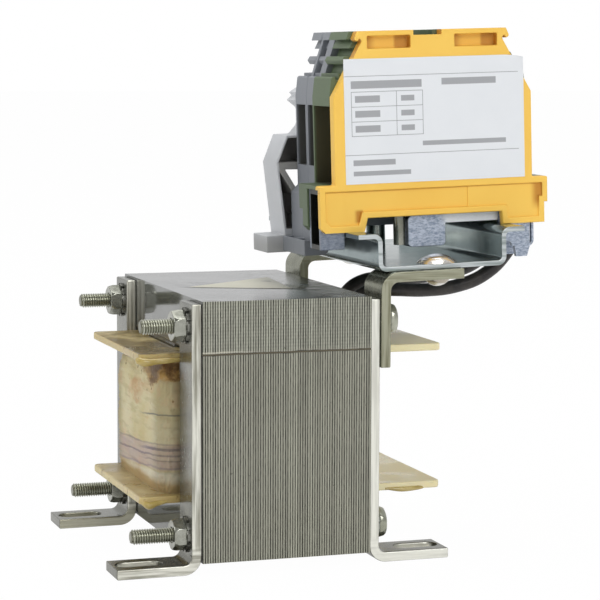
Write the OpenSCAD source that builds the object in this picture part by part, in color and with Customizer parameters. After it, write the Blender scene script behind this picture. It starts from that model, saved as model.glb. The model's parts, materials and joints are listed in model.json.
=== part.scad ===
// Line reactor: a gapped E and I core with one winding, held by four bent clamp feet, with an
// earth terminal and two feed-through terminals on a short rail at its side.
// X runs through the lamination stack with the rail on +X, Y runs across the laminations, Z is up.
// The origin is the centre of the four foot slots, on the mounting plane.

/* [Core] */
// Width of one lamination, along Y
lamination_width = 60; // [58:1:66]
// Width of the centre limb
centre_limb = 20; // [17:0.5:22]
// Width of each outer limb
side_limb = 10; // [9:0.5:11]
// Height of the two windows
window_height = 30; // [30:1:36]
// Height of the E yoke and of the I laminations
yoke_height = 10; // [9:0.5:12]
// Depth of the lamination stack, along X
stack_depth = 34; // [30:1:40]
// Thickness of one lamination sheet
sheet_pitch = 0.5; // [0.5:0.05:1]
// Depth of the joint between two sheet edges
sheet_groove = 0.12; // [0.06:0.02:0.2]
// Thickness of the spacer in the air gap
air_gap = 0.3; // [0.1:0.1:1]
// Height of the core above the mounting plane
core_lift = 2.2; // [1:0.1:4]

/* [Coil] */
// Clearance between the centre limb and the bobbin
bobbin_clearance = 0.2; // [0.1:0.05:0.4]
// Wall of the bobbin tube
bobbin_wall = 1; // [0.8:0.1:1.4]
// Gap between the bobbin's upper flange and the closing yoke
bobbin_end_gap = 0.6; // [0.2:0.1:1.5]
// Thickness of each flange
flange_thickness = 1.5; // [1:0.1:2]
// Gap between a flange and the outer limb
flange_gap = 0.5; // [0.3:0.1:1]
// Reach of the flanges past the core on the foot side, along -X
flange_reach_left = 9.6; // [9:0.2:12]
// Reach of the flanges past the core on the rail side, along +X
flange_reach_right = 18.8; // [12:0.2:22]
// Radius of the flange corners
flange_corner = 1.2; // [0.5:0.1:3]
// Build of the winding past the ends of the stack
winding_build_end = 3.8; // [3:0.1:7]
// Distance of the wrap from the edges of the flanges, inside the windows
wrap_inset = 0.8; // [0.4:0.1:1.5]
// Corner radius of the winding
winding_corner = 5; // [3:0.5:6]
// Thickness of the insulation wrap round the winding
wrap_thickness = 0.5; // [0.3:0.1:0.8]

/* [Clamp feet] */
// Width of a clamp strip
foot_width = 9; // [8:0.5:9.5]
// Thickness of a clamp strip
foot_thickness = 2; // [1.5:0.1:2.5]
// Inside radius of the bend
foot_bend = 1.6; // [1:0.1:2]
// Reach of a foot from the core face to its tip
foot_reach = 16.7; // [15.5:0.1:22]
// Distance of the strip's top edge below the top of the core
foot_top_gap = 0.5; // [0:0.1:1]
// Width of the mounting slot
slot_width = 4; // [3:0.1:5]
// Length of the mounting slot, along X
slot_length = 9; // [7:0.5:9.5]
// Distance from the slot's centre to the tip of the foot
slot_to_tip = 5.4; // [5.2:0.1:6]

/* [Through bolts] */
// Distance of the bolts from the edges of the lamination
bolt_inset = 5; // [4.6:0.1:5.4]
// Thread diameter
bolt_diameter = 3; // [2.5:0.1:3.5]
// Clearance of the bolt in its holes, on the diameter
bolt_clearance = 0.4; // [0.2:0.1:0.8]
// Length under the head
bolt_length = 49.5; // [47:0.1:56]
// Size across the flats of heads and nuts
hex_size = 5.5; // [5:0.1:6]
// Height of a bolt head
head_height = 1.8; // [1.6:0.1:2.6]
// Height of a nut
nut_height = 2.4; // [1.8:0.1:3]
// Outside diameter of the plain washers
washer_diameter = 7; // [6.5:0.1:8]
// Thickness of a plain or toothed washer
washer_thickness = 0.5; // [0.4:0.1:0.8]

/* [Rail brackets] */
// Width of a bracket strip
bracket_width = 10; // [8:0.5:10]
// Thickness of a bracket strip
bracket_thickness = 2; // [1.5:0.1:2.5]
// Inside radius of the bend
bracket_bend = 1.6; // [1:0.1:2.5]
// Length of the upright leg below the top of the core
bracket_drop = 14; // [11:0.5:18]
// Height of the rail seat above the top of the core
bracket_rise = 4.6; // [4.2:0.1:6]
// Length of the arm from the centre of the bend
bracket_arm = 13.8; // [13:0.1:20]
// Slope of the arm and of all it carries, in degrees
rail_tilt = 1.8; // [0:0.1:3]

/* [Rail] */
// Width over the flanges
rail_width = 35; // [35:0.5:36]
// Outside width of the channel
rail_channel = 27; // [26:0.5:27]
// Height of the rail
rail_height = 7.5; // [7.5:0.1:8]
// Sheet thickness of the rail
rail_thickness = 1; // [0.8:0.1:1.2]
// Inside radius of the rail's bends
rail_bend = 0.8; // [0.4:0.1:1]
// Distance of the rail's ends from the edges of the lamination, along Y
rail_inset = 1.5; // [0:0.1:2]
// Distance from the bracket's bend to the middle of the rail
rail_offset = 9.95; // [9.8:0.05:11]
// Shank diameter of the rivets
rivet_diameter = 4; // [3:0.1:4.8]
// Clearance of the rivet in its holes, on the diameter
rivet_clearance = 0.1; // [0.1:0.1:0.4]
// Diameter of the rivet's domed head
rivet_head = 8; // [7:0.1:8.8]
// Height of the domed head
rivet_head_height = 1.7; // [1.2:0.1:2]
// Diameter of the formed tail
rivet_tail = 5.4; // [5:0.1:6]
// Height of the formed tail
rivet_tail_height = 1.7; // [1:0.1:2]

/* [Terminals] */
// Distance of the earth terminal's front face from the front end of the rail
terminal_inset = 6.5; // [5:0.5:8]
// Middle of the terminals from the middle of the rail
terminal_shift = 1.3; // [1:0.1:1.6]
// Height of the terminals above the rail's underside
terminal_top = 46.6; // [46:0.2:50]
// Thickness of the earth terminal
earth_width = 12.9; // [12.5:0.1:14]
// Half the width of the earth terminal's upper body
earth_half = 20.95; // [20.5:0.05:22]
// Half the width of the earth terminal's base
base_half = 24.25; // [24:0.05:25]
// Height of the base's upper ledge
base_top = 16.75; // [16.5:0.05:17.5]
// Thickness of the yellow cover
cover_thickness = 2.6; // [2.2:0.1:3]
// Thickness of one feed-through terminal
feed_width = 6.9; // [6.6:0.1:8]
// Half the width of a feed-through terminal
feed_half = 19.9; // [19.6:0.1:20.6]
// Wall between a terminal's pocket and its neighbour
pocket_wall = 0.7; // [0.6:0.1:1.1]
// Thickness of the end stop
stop_width = 9.3; // [9:0.1:12]

/* [Clamps] */
// Distance of the two clamps from the middle of a terminal
clamp_spread = 9.2; // [9:0.1:9.6]
// Length of a clamp cage along the wire
cage_length = 7.5; // [6.5:0.1:8]
// Wall of a clamp cage
cage_wall = 0.8; // [0.6:0.1:1]
// Clearance of a cage in its pocket
cage_clearance = 0.2; // [0.1:0.05:0.3]
// Thickness of a current bar
bar_thickness = 1.5; // [1:0.1:2]

/* [Label] */
// Width of the rating label
label_width = 38; // [34:0.5:40]
// Height of the rating label
label_height = 24.4; // [20:0.2:25]
// Thickness of the rating label
label_thickness = 0.15; // [0.1:0.05:0.3]

/* [Leads] */
// Outside diameter of a lead
lead_diameter = 2.8; // [2.4:0.1:3]

/* [Hidden] */
$fn = 48;
eps = 0.01;
core_x = stack_depth / 2;
e_height = yoke_height + window_height;
core_top = core_lift + e_height + air_gap + yoke_height;
window_width = (lamination_width - centre_limb) / 2 - side_limb;
sheet_count = round(stack_depth / sheet_pitch);
sheet_step = stack_depth / sheet_count;
groove_half = 0.2 * sheet_step;

bolt_y = lamination_width / 2 - bolt_inset;
bolt_low = core_lift + bolt_inset;
bolt_high = core_top - bolt_inset;
bolt_hole = bolt_diameter + bolt_clearance;
foot_face = core_x + foot_thickness;
bracket_face = foot_face + bracket_thickness;
slot_x = core_x + foot_reach - slot_to_tip;

tube_x = core_x + bobbin_clearance;
tube_y = centre_limb / 2 + bobbin_clearance;
barrel_x = tube_x + bobbin_wall;
barrel_y = tube_y + bobbin_wall;
flange_half = lamination_width / 2 - side_limb - flange_gap;
bobbin_base = core_lift + yoke_height;
bobbin_height = window_height - bobbin_end_gap;
winding_base = bobbin_base + flange_thickness;
winding_top = bobbin_base + bobbin_height - flange_thickness;
winding_x = barrel_x + winding_build_end;
winding_y = flange_half - wrap_inset - wrap_thickness;

bend_x = bracket_face + bracket_bend;
bend_z = core_top + bracket_rise - bracket_thickness - bracket_bend;
seat = bracket_bend + bracket_thickness;
bend_steps = 16;
rail_length = lamination_width - 2 * rail_inset;

earth_face = terminal_inset - rail_length / 2;
cover_back = earth_face + cover_thickness;
earth_back = earth_face + earth_width;
feed_middle = earth_back + feed_width;
feed_back = feed_middle + feed_width;
stop_back = feed_back + stop_width;

// Wire pocket and clamp heights above the rail's underside
pocket_roof = 32.1;
bar_bottom = 24;
bar_top = bar_bottom + bar_thickness;
cage_sill = bar_bottom - lead_diameter - 0.3;
cage_bottom = cage_sill - 0.8;
feed_floor = cage_bottom - 0.2;
cage_lintel = bar_top + 0.2;
cage_top = cage_lintel + 3.2;
screw_seat = 34;
earth_screw = 4;
earth_screw_head = 5.2;
earth_screw_well = 5.6;
feed_screw = 2.6;
feed_screw_head = 3.8;
feed_screw_well = 4.2;

// Rail foot of the earth terminal
foot_cavity_front = earth_face + 1.3;
foot_cavity_depth = 6.6;
foot_cavity_back = foot_cavity_front + foot_cavity_depth;
foot_cavity_roof = base_top - 0.8;
foot_sheet = 1;
foot_left = -base_half + 0.4;
foot_right = base_half - 1.6;
foot_sill = 4.1;
foot_hook = 4.4;
yoke_block = 8;
rail_grip = rail_width / 2 + 0.1;
underflange = rail_height - rail_thickness - 0.1;
foot_notch = 10.1;
earth_pocket = earth_back - cover_back - pocket_wall;
earth_mid = cover_back + earth_pocket / 2;
earth_bar_width = 5.6;
bar_leg_y = earth_mid - earth_bar_width / 2;
feed_pocket = feed_width - 2 * pocket_wall;
rail_screw_x = -1.1;
rail_screw_y = foot_cavity_front + foot_cavity_depth / 2;
rail_screw = 3.5;
rail_screw_well = 5.6;
bar_leg = [1.5, 3.6];
bar_leg_x = 3.2;

// End stop
stop_screw = 4;
stop_head = [7, 2.8];
stop_top = terminal_top - 7.2;
stop_head_seat = stop_top - 6.4;
stop_screw_y = (feed_back + stop_back) / 2;
stop_nut = [7, 7, 3.2];
stop_nut_z = 13;

// Routes of the two leads from the clamp cages to the winding, along and above the bracket's arm
lead_front_y = earth_back + feed_width / 2;
lead_rear_y = feed_middle + feed_width / 2;
lead_end = [winding_x - 1.4, winding_top + 0.05];
lead_front_route = [
    [18.2, 26.1], [24.2, 26.1], [31.2, 26.1], [35.1, 24.6], [37.2, 20.8], [37.5, 15.3], [36.5, 9.4],
    [33.3, 3.6], [28.3, -0.6], [22.3, -2.6], [15.3, -3.1], [8.3, -2.6], [3.8, -2.3], [0.6, -3.6],
    [-1.4, -6.4], [-2.2, -9.5]
];
lead_rear_route = [
    [18.2, 26.1], [24.2, 26.1], [31.2, 26.1], [35, 24.6], [36.9, 20.9], [37.1, 15.3], [36.3, 10.6],
    [34, 5.6], [29.2, 1.3], [22.5, -0.6], [15.3, -1.1], [8.3, -0.9], [3.9, -1.2], [0.6, -3],
    [-1.4, -6.2], [-2.2, -9.5]
];

// A rectangle with round corners, centred
module round_rectangle(size, radius) {
    square([size.x - 2 * radius, size.y], center = true);
    square([size.x, size.y - 2 * radius], center = true);
    for (sx = [-1, 1], sy = [-1, 1])
        translate([sx * (size.x / 2 - radius), sy * (size.y / 2 - radius)])
            circle(radius);
}

// Extrudes an outline drawn in X and Z from y_start over a length along Y
module along_y(y_start, length) {
    translate([0, y_start + length, 0])
        rotate([90, 0, 0])
            linear_extrude(length)
                children();
}

// A hole or rod along X, centred on the stack
module rod_x(diameter, length) {
    rotate([0, 90, 0])
        cylinder(d = diameter, h = length, center = true);
}

// Outline of the stack seen from above, with a joint between each two sheet edges
function sheet_edge(side) = [
    for (i = [1 : sheet_count - 1], k = [-1, 0, 1])
        [
            -core_x + i * sheet_step + k * groove_half,
            side * (lamination_width / 2 - (k == 0 ? sheet_groove : 0))
        ]
];

function reversed(list) = [for (i = [len(list) - 1 : -1 : 0]) list[i]];

module sheet_stack(height) {
    linear_extrude(height)
        polygon(concat(
            [[-core_x, -lamination_width / 2]],
            sheet_edge(-1),
            [[core_x, -lamination_width / 2], [core_x, lamination_width / 2]],
            reversed(sheet_edge(1)),
            [[-core_x, lamination_width / 2]]
        ));
}

// E laminations: the yoke below and three limbs, with the windows on both sides of the middle limb
module e_laminations() {
    color("dimgray")
        translate([0, 0, core_lift])
            difference() {
                sheet_stack(e_height);
                for (side = [-1, 1]) {
                    translate([0, side * (centre_limb + window_width) / 2, yoke_height + window_height])
                        cube([stack_depth + 1, window_width, 2 * window_height], center = true);
                    translate([0, side * bolt_y, bolt_inset])
                        rod_x(bolt_hole, stack_depth + 1);
                }
            }
}

// I laminations: the closing yoke on top of the limbs
module i_laminations() {
    color("dimgray")
        translate([0, 0, core_top - yoke_height])
            difference() {
                sheet_stack(yoke_height);
                for (side = [-1, 1])
                    translate([0, side * bolt_y, yoke_height - bolt_inset])
                        rod_x(bolt_hole, stack_depth + 1);
            }
}

// Insulating sheet that sets the air gap between the limbs and the closing yoke
module air_gap_spacer() {
    color("tan")
        translate([-core_x, -lamination_width / 2 + sheet_groove, core_lift + e_height])
            cube([stack_depth, lamination_width - 2 * sheet_groove, air_gap]);
}

module flange() {
    length = stack_depth + flange_reach_left + flange_reach_right;
    translate([(flange_reach_right - flange_reach_left) / 2, 0])
        round_rectangle([length, 2 * flange_half], flange_corner);
}

// Bobbin: a square tube on the centre limb with a flange at each end
module bobbin() {
    color("wheat")
        translate([0, 0, bobbin_base])
            difference() {
                union() {
                    linear_extrude(flange_thickness)
                        flange();
                    linear_extrude(bobbin_height)
                        square([2 * barrel_x, 2 * barrel_y], center = true);
                    translate([0, 0, bobbin_height - flange_thickness])
                        linear_extrude(flange_thickness)
                            flange();
                }
                translate([0, 0, -eps])
                    linear_extrude(bobbin_height + 2 * eps)
                        square([2 * tube_x, 2 * tube_y], center = true);
                for (y = [lead_front_y, lead_rear_y])
                    translate([lead_end.x, y, bobbin_height - 2 * flange_thickness])
                        cylinder(d = lead_diameter + 0.4, h = 3 * flange_thickness);
            }
}

// A ring round the bobbin's barrel, from one outline to a larger one
module coil_ring(inner_x, inner_y, inner_corner, outer_x, outer_y) {
    translate([0, 0, winding_base])
        linear_extrude(winding_top - winding_base)
            difference() {
                round_rectangle([2 * outer_x, 2 * outer_y], winding_corner);
                round_rectangle([2 * inner_x, 2 * inner_y], inner_corner);
            }
}

// Winding: all its turns as one solid
module winding() {
    color("sienna")
        translate([0, 0, winding_base])
            linear_extrude(winding_top - winding_base)
                difference() {
                    round_rectangle([2 * winding_x, 2 * winding_y], winding_corner - wrap_thickness);
                    square([2 * barrel_x, 2 * barrel_y], center = true);
                }
}

// Wrap: the tape wound over the finished winding
module coil_wrap() {
    color("lemonchiffon")
        coil_ring(winding_x, winding_y, winding_corner - wrap_thickness,
            winding_x + wrap_thickness, winding_y + wrap_thickness);
}

// Section of a strip that stands at X = 0 and bends out along +X at its lower end
module foot_section() {
    radius = foot_bend + foot_thickness;
    translate([0, radius])
        square([foot_thickness, core_top - foot_top_gap - radius]);
    translate([radius, 0])
        square([foot_reach - radius, foot_thickness]);
    intersection() {
        translate([radius, radius])
            difference() {
                circle(radius);
                circle(foot_bend);
            }
        square(radius);
    }
}

module clamp_foot(side_x, side_y) {
    color("lightgray")
        mirror([side_x < 0 ? 1 : 0, 0, 0])
            mirror([0, side_y < 0 ? 1 : 0, 0])
                difference() {
                    translate([core_x, 0, 0])
                        along_y(bolt_y - foot_width / 2, foot_width)
                            foot_section();
                    for (z = [bolt_low, bolt_high])
                        translate([core_x, bolt_y, z])
                            rod_x(bolt_hole, 4 * foot_thickness);
                    translate([slot_x, bolt_y, -eps])
                        foot_slot();
                }
}

module foot_slot() {
    run = slot_length - slot_width;
    depth = foot_thickness + 2 * eps;
    translate([-run / 2, -slot_width / 2, 0])
        cube([run, slot_width, depth]);
    for (side = [-1, 1])
        translate([side * run / 2, 0, 0])
            cylinder(d = slot_width, h = depth);
}

module clamp_foot_front_left() clamp_foot(-1, -1);
module clamp_foot_front_right() clamp_foot(1, -1);
module clamp_foot_rear_left() clamp_foot(-1, 1);
module clamp_foot_rear_right() clamp_foot(1, 1);

// Places children on the rail side of each bolt, on the face that its washer sits on
module at_bolt_heads() {
    for (y = [-bolt_y, bolt_y], z = [bolt_low, bolt_high])
        translate([z == bolt_high ? bracket_face : foot_face, y, z])
            rotate([0, 90, 0])
                children();
}

// Places children on the foot side of each bolt, with their Z axis pointing away from the core
module at_bolt_nuts() {
    for (y = [-bolt_y, bolt_y], z = [bolt_low, bolt_high])
        translate([-foot_face, y, z])
            rotate([0, -90, 0])
                children();
}

module hexagon(height) {
    cylinder(d = hex_size / cos(30), h = height, $fn = 6);
}

// Through bolts: hexagon heads on the rail side, free thread ends past the nuts
module through_bolts() {
    tip = 0.4;
    color("darkkhaki")
        at_bolt_heads()
            translate([0, 0, washer_thickness]) {
                intersection() {
                    hexagon(head_height);
                    cylinder(d1 = hex_size * 1.25, d2 = hex_size * 1.02, h = head_height);
                }
                translate([0, 0, -bolt_length + tip])
                    cylinder(d = bolt_diameter, h = bolt_length - tip + eps);
                translate([0, 0, -bolt_length])
                    cylinder(d1 = bolt_diameter - 2 * tip, d2 = bolt_diameter, h = tip);
            }
}

module washer(diameter, height) {
    play = 0.2;
    difference() {
        cylinder(d = diameter, h = height);
        translate([0, 0, -eps])
            cylinder(d = bolt_diameter + play, h = height + 2 * eps);
    }
}

// Plain washers under the bolt heads
module plain_washers() {
    color("silver")
        at_bolt_heads()
            washer(washer_diameter, washer_thickness);
}

// Toothed lock washers under the nuts
module toothed_washers() {
    tooth_count = 10;
    notch = 0.8;
    color("slategray")
        at_bolt_nuts()
            difference() {
                washer(washer_diameter, washer_thickness);
                for (i = [0 : tooth_count - 1])
                    rotate(i * 360 / tooth_count)
                        translate([washer_diameter / 2, 0, washer_thickness / 2])
                            cube([2 * notch, notch, 2 * washer_thickness], center = true);
            }
}

// Nuts on the free ends of the bolts, with their outer corners turned off
module nuts() {
    color("silver")
        at_bolt_nuts()
            translate([0, 0, washer_thickness])
                difference() {
                    intersection() {
                        hexagon(nut_height);
                        cylinder(d1 = hex_size * 1.3, d2 = hex_size * 1.04, h = nut_height);
                    }
                    translate([0, 0, -eps])
                        cylinder(d = bolt_diameter + 0.1, h = nut_height + 2 * eps);
                }
}

// Points of the bracket's bend, from the upright leg round to the sloping arm
function bend_arc(radius) = [
    for (i = [0 : bend_steps])
        let (a = 180 - i * (90 - rail_tilt) / bend_steps)
            [bend_x + radius * cos(a), bend_z + radius * sin(a)]
];

// Section of a bracket: an upright leg that bends out along +X into the sloping arm
module bracket_section() {
    leg_bottom = core_top - bracket_drop;
    outer = bend_arc(seat);
    inner = bend_arc(bracket_bend);
    reach = bracket_arm * [cos(rail_tilt), sin(rail_tilt)];
    polygon(concat(
        [[foot_face, leg_bottom]],
        outer,
        [outer[bend_steps] + reach, inner[bend_steps] + reach],
        reversed(inner),
        [[bracket_face, leg_bottom]]
    ));
}

// Places children on the rail: X = 0 in its middle, Z = 0 on its underside
module on_rail() {
    translate([bend_x, 0, bend_z])
        rotate([0, -rail_tilt, 0])
            translate([rail_offset, 0, seat])
                children();
}

// Places children in the terminals' own middle
module on_terminal() {
    on_rail()
        translate([terminal_shift, 0, 0])
            children();
}

module rail_bracket(side) {
    color("darkkhaki")
        difference() {
            along_y(side * bolt_y - bracket_width / 2, bracket_width)
                bracket_section();
            translate([foot_face, side * bolt_y, bolt_high])
                rod_x(bolt_hole, 4 * bracket_thickness);
            on_rail()
                translate([0, side * bolt_y, -bracket_thickness - 1])
                    cylinder(d = rivet_diameter + rivet_clearance, h = bracket_thickness + 2);
        }
}

module rail_bracket_front() rail_bracket(-1);
module rail_bracket_rear() rail_bracket(1);

// The space between a square corner at the origin and the arc that rounds it, below and right of it
module corner(radius) {
    difference() {
        translate([0, -radius])
            square(radius);
        translate([radius, -radius])
            circle(radius);
    }
}

// A channel's outline with round lower corners
module channel(half, floor, radius, height) {
    translate([-half, floor + radius])
        square([2 * half, height - floor - radius]);
    translate([radius - half, floor])
        square([2 * (half - radius), height - floor]);
    for (side = [-1, 1])
        translate([side * (half - radius), floor + radius])
            circle(radius);
}

// Mounting rail: a top-hat section rolled from sheet
module rail() {
    wall = rail_channel / 2;
    outer = rail_bend + rail_thickness;
    color("lightsteelblue")
        difference() {
            on_rail()
                along_y(-rail_length / 2, rail_length)
                    difference() {
                        union() {
                            translate([-rail_width / 2, rail_height - rail_thickness])
                                square([rail_width, rail_thickness]);
                            channel(wall, 0, outer, rail_height);
                            for (side = [0, 1])
                                mirror([side, 0])
                                    translate([wall, rail_height - rail_thickness])
                                        corner(rail_bend);
                        }
                        channel(wall - rail_thickness, rail_thickness, rail_bend, rail_height + 1);
                        for (side = [0, 1])
                            mirror([side, 0])
                                translate([wall - rail_thickness, rail_height])
                                    corner(outer);
                    }
            on_rail()
                for (side = [-1, 1])
                    translate([0, side * bolt_y, -1])
                        cylinder(d = rivet_diameter + rivet_clearance, h = rail_thickness + 2);
        }
}

// A spherical cap of a given diameter and height, on Z = 0
module dome(diameter, height) {
    radius = (pow(diameter / 2, 2) + pow(height, 2)) / (2 * height);
    intersection() {
        translate([0, 0, height - radius])
            sphere(radius);
        cylinder(d = 2 * diameter, h = height + 1);
    }
}

// Rivets that hold the rail on its brackets
module rail_rivets() {
    color("whitesmoke")
        on_rail()
            for (side = [-1, 1])
                translate([0, side * bolt_y, 0]) {
                    translate([0, 0, rail_thickness])
                        dome(rivet_head, rivet_head_height);
                    translate([0, 0, -bracket_thickness - eps])
                        cylinder(d = rivet_diameter, h = bracket_thickness + rail_thickness + 2 * eps);
                    translate([0, 0, -bracket_thickness])
                        mirror([0, 0, 1])
                            dome(rivet_tail, rivet_tail_height);
                }
}

// Mirrors the points of a right half-outline to close it on the left
function both_sides(points) = concat(
    points,
    [for (p = reversed(points)) [-p.x, p.y]]
);

// Right shoulder of a terminal with its marker comb: a step, two teeth and the hook at the top
function comb_shoulder(half) = [
    for (p = [
        [0, -12.7], [-0.5, -9], [-0.8, -8.7], [-1.3, -8.7], [-1.5, -9.4], [-2, -9.4],
        [-2, -8.1], [-4.1, -8.1], [-4.7, -6.4], [-3.3, -6.4], [-2.8, -5.6], [-3.3, -4.8],
        [-5.4, -4.8], [-6, -3.3], [-4.4, -3.3], [-5.4, -1.4], [-4.9, -1], [-4.5, -1.6],
        [-3.8, -1.6], [-4.3, 0]
    ])
        [half + p.x, terminal_top + p.y]
];

// Right shoulder of a feed-through terminal's plain wall, beside its comb
function flank_shoulder(half) = [
    for (p = [[0, -12.7], [-0.5, -9], [-1.5, -9], [-4.1, -1.4], [-4.3, 0]])
        [half + p.x, terminal_top + p.y]
];

// Right shoulder of the earth terminal's cover: one slope below the hook
function plain_shoulder(half) = [
    for (p = [
        [0, -12.7], [-6.1, -2], [-5.7, -1.4], [-5.2, -2.1], [-4.5, -1.6], [-5.2, 0]
    ])
        [half + p.x, terminal_top + p.y]
];

// Base of the earth terminal: two feet on the rail's flanges with a notch between them;
// an inset draws the recess that leaves a rim all round
module earth_base(inset = 0) {
    notch_half = 14.3;
    notch_lean = [0.7, 0.25];
    step = 0.7;
    step_top = 11.6;
    lower_corner = 1;
    left = inset - base_half;
    right = base_half - inset;
    bottom = rail_height + inset;
    notch_top = foot_notch + inset;
    polygon([
        [left, base_top - inset], [left, bottom + lower_corner], [left + lower_corner, bottom],
        [-notch_half - notch_lean.x - inset, bottom], [-notch_half - inset, notch_top],
        [notch_half - notch_lean.y + inset, notch_top], [notch_half + inset, bottom],
        [right - step, bottom], [right - step, step_top + inset], [right, step_top + inset],
        [right, base_top - inset]
    ]);
}

// Hollow under the base that takes the steel foot, open below and at its left end
module foot_cavity(y_start, length) {
    end_wall = 1.5;
    translate([-base_half - 1, y_start, 0])
        cube([2 * base_half + 1 - end_wall, length, foot_cavity_roof]);
}

// Yellow cover: the front half of the earth terminal's housing
module earth_cover() {
    window = [9, 2.4];
    window_drop = 2.2;
    window_depth = 1.9;
    panel_depth = 0.5;
    inlay = [-19.1, 7];
    inlay_depth = 0.7;
    rim = 1.3;
    notch = [6, 1];
    color("gold")
        on_terminal()
            difference() {
                along_y(earth_face, cover_thickness)
                    difference() {
                        union() {
                            earth_base();
                            polygon(both_sides(concat(
                                [[earth_half, base_top - eps]],
                                plain_shoulder(earth_half)
                            )));
                        }
                        translate([rail_screw_x - notch.x / 2, terminal_top - notch.y])
                            square([notch.x, 2 * notch.y]);
                    }
                for (side = [-1, 1])
                    translate([side * clamp_spread, earth_face, terminal_top - window_drop])
                        cube([window.x, 2 * window_depth, window.y], center = true);
                along_y(earth_face - panel_depth, 2 * panel_depth)
                    earth_base(rim);
                along_y(earth_face - inlay_depth, 2 * inlay_depth)
                    intersection() {
                        earth_base(rim);
                        translate([inlay.x, 0])
                            square([inlay.y - inlay.x, base_top]);
                    }
                foot_cavity(foot_cavity_front, cover_thickness);
                rail_screw_hole();
            }
}

// Well of the rail clamp screw, from the top of the housing down to the steel foot
module rail_screw_hole() {
    translate([rail_screw_x, rail_screw_y, foot_cavity_roof - eps])
        cylinder(d = rail_screw_well, h = terminal_top);
}

// Wire pockets on both sides of a terminal, the wells of its clamp screws and the slot of its bar
module clamp_hollows(half, y_start, width, floor, well) {
    inner = clamp_spread - cage_length / 2 - 0.2;
    for (side = [0, 1])
        mirror([side, 0, 0]) {
            translate([inner, y_start, floor])
                cube([half, width, pocket_roof - floor]);
            translate([clamp_spread, y_start + width / 2, pocket_roof - 1])
                cylinder(d = well, h = terminal_top);
        }
    translate([-inner - 1, y_start + cage_wall, bar_bottom - 0.1])
        cube([2 * inner + 2, width - 2 * cage_wall, bar_thickness + 0.2]);
}

// Green body: the rear half of the earth terminal's housing
module earth_body() {
    leg_gap = 0.1;
    corner_cut = [2.2, 2, 11.8];
    color("darkolivegreen")
        on_terminal()
            difference() {
                along_y(cover_back, earth_back - cover_back)
                    union() {
                        earth_base();
                        polygon(both_sides(concat(
                            [[earth_half, base_top - eps]],
                            comb_shoulder(earth_half)
                        )));
                    }
                clamp_hollows(earth_half, cover_back, earth_pocket, base_top, earth_screw_well);
                foot_cavity(cover_back - 1, foot_cavity_back - cover_back + 1);
                translate([-base_half - 1, earth_back - corner_cut.y, 0])
                    cube([corner_cut.x + 1, corner_cut.y + 1, corner_cut.z]);
                rail_screw_hole();
                translate([bar_leg_x - leg_gap, bar_leg_y - leg_gap, foot_cavity_roof - 1])
                    cube([bar_leg.x + 2 * leg_gap, bar_leg.y + 2 * leg_gap, bar_top - foot_cavity_roof + 1]);
            }
}

// Current bar between the two clamps of a terminal
module current_bar(y_middle, width) {
    length = 2 * clamp_spread + cage_length;
    translate([-length / 2, y_middle - width / 2, bar_bottom])
        cube([length, width, bar_thickness]);
}

// Copper bar of the earth terminal: a leg down to the steel foot, and room for the rail clamp screw
module earth_bar() {
    color("peru")
        on_terminal()
            difference() {
                union() {
                    current_bar(earth_mid, earth_bar_width);
                    translate([bar_leg_x, bar_leg_y, foot_cavity_roof])
                        cube([bar_leg.x, bar_leg.y, bar_bottom - foot_cavity_roof + eps]);
                }
                translate([rail_screw_x, rail_screw_y, 0])
                    cylinder(d = rail_screw_well + 0.4, h = terminal_top);
            }
}

// Clamp cages: square steel sleeves that the screws draw up against the bar
module clamp_cages(y_middle, width, screw) {
    for (side = [-1, 1])
        translate([side * clamp_spread, y_middle, 0])
            difference() {
                translate([-cage_length / 2, -width / 2, cage_bottom])
                    cube([cage_length, width, cage_top - cage_bottom]);
                translate([-cage_length, cage_wall - width / 2, cage_sill])
                    cube([2 * cage_length, width - 2 * cage_wall, cage_lintel - cage_sill]);
                cylinder(d = screw + 0.1, h = terminal_top);
            }
}

// Slotted clamp screws, standing on the bar with their heads in the wells
module clamp_screws(y_middle, screw, head) {
    head_h = 2.2;
    slot = 0.8;
    for (side = [-1, 1])
        translate([side * clamp_spread, y_middle, 0])
            difference() {
                union() {
                    translate([0, 0, bar_top])
                        cylinder(d = screw, h = screw_seat - bar_top + eps);
                    translate([0, 0, screw_seat])
                        cylinder(d = head, h = head_h);
                }
                translate([0, 0, screw_seat + head_h])
                    cube([2 * head, slot, 2 * slot], center = true);
            }
}

module earth_cages() {
    color("slategray")
        on_terminal()
            clamp_cages(earth_mid, earth_pocket - 2 * cage_clearance, earth_screw);
}

module earth_clamp_screws() {
    color("silver")
        on_terminal()
            clamp_screws(earth_mid, earth_screw, earth_screw_head);
}

// Outline of one side plate of the earth foot, with the hooks that grip the rail's flanges
module foot_plate() {
    grip_left = -rail_grip - terminal_shift;
    grip_right = rail_grip - terminal_shift;
    hook_right = grip_right + foot_hook;
    lip = 1.2;
    neck = 2.9;
    bottom = 0.7;
    difference() {
        polygon([
            [foot_left, foot_cavity_roof], [foot_left, foot_sill], [grip_left, foot_sill],
            [grip_left, foot_notch + 0.2], [grip_right, foot_notch + 0.2], [grip_right, underflange],
            [grip_right - lip, underflange], [grip_right - lip, neck], [grip_right + 1, neck],
            [grip_right + 1.4, bottom], [hook_right - 0.6, bottom], [hook_right, 2.6],
            [hook_right, foot_notch], [foot_right, foot_notch], [foot_right, foot_cavity_roof]
        ]);
        translate([grip_right - lip / 2, neck])
            circle(1.1);
    }
}

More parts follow.
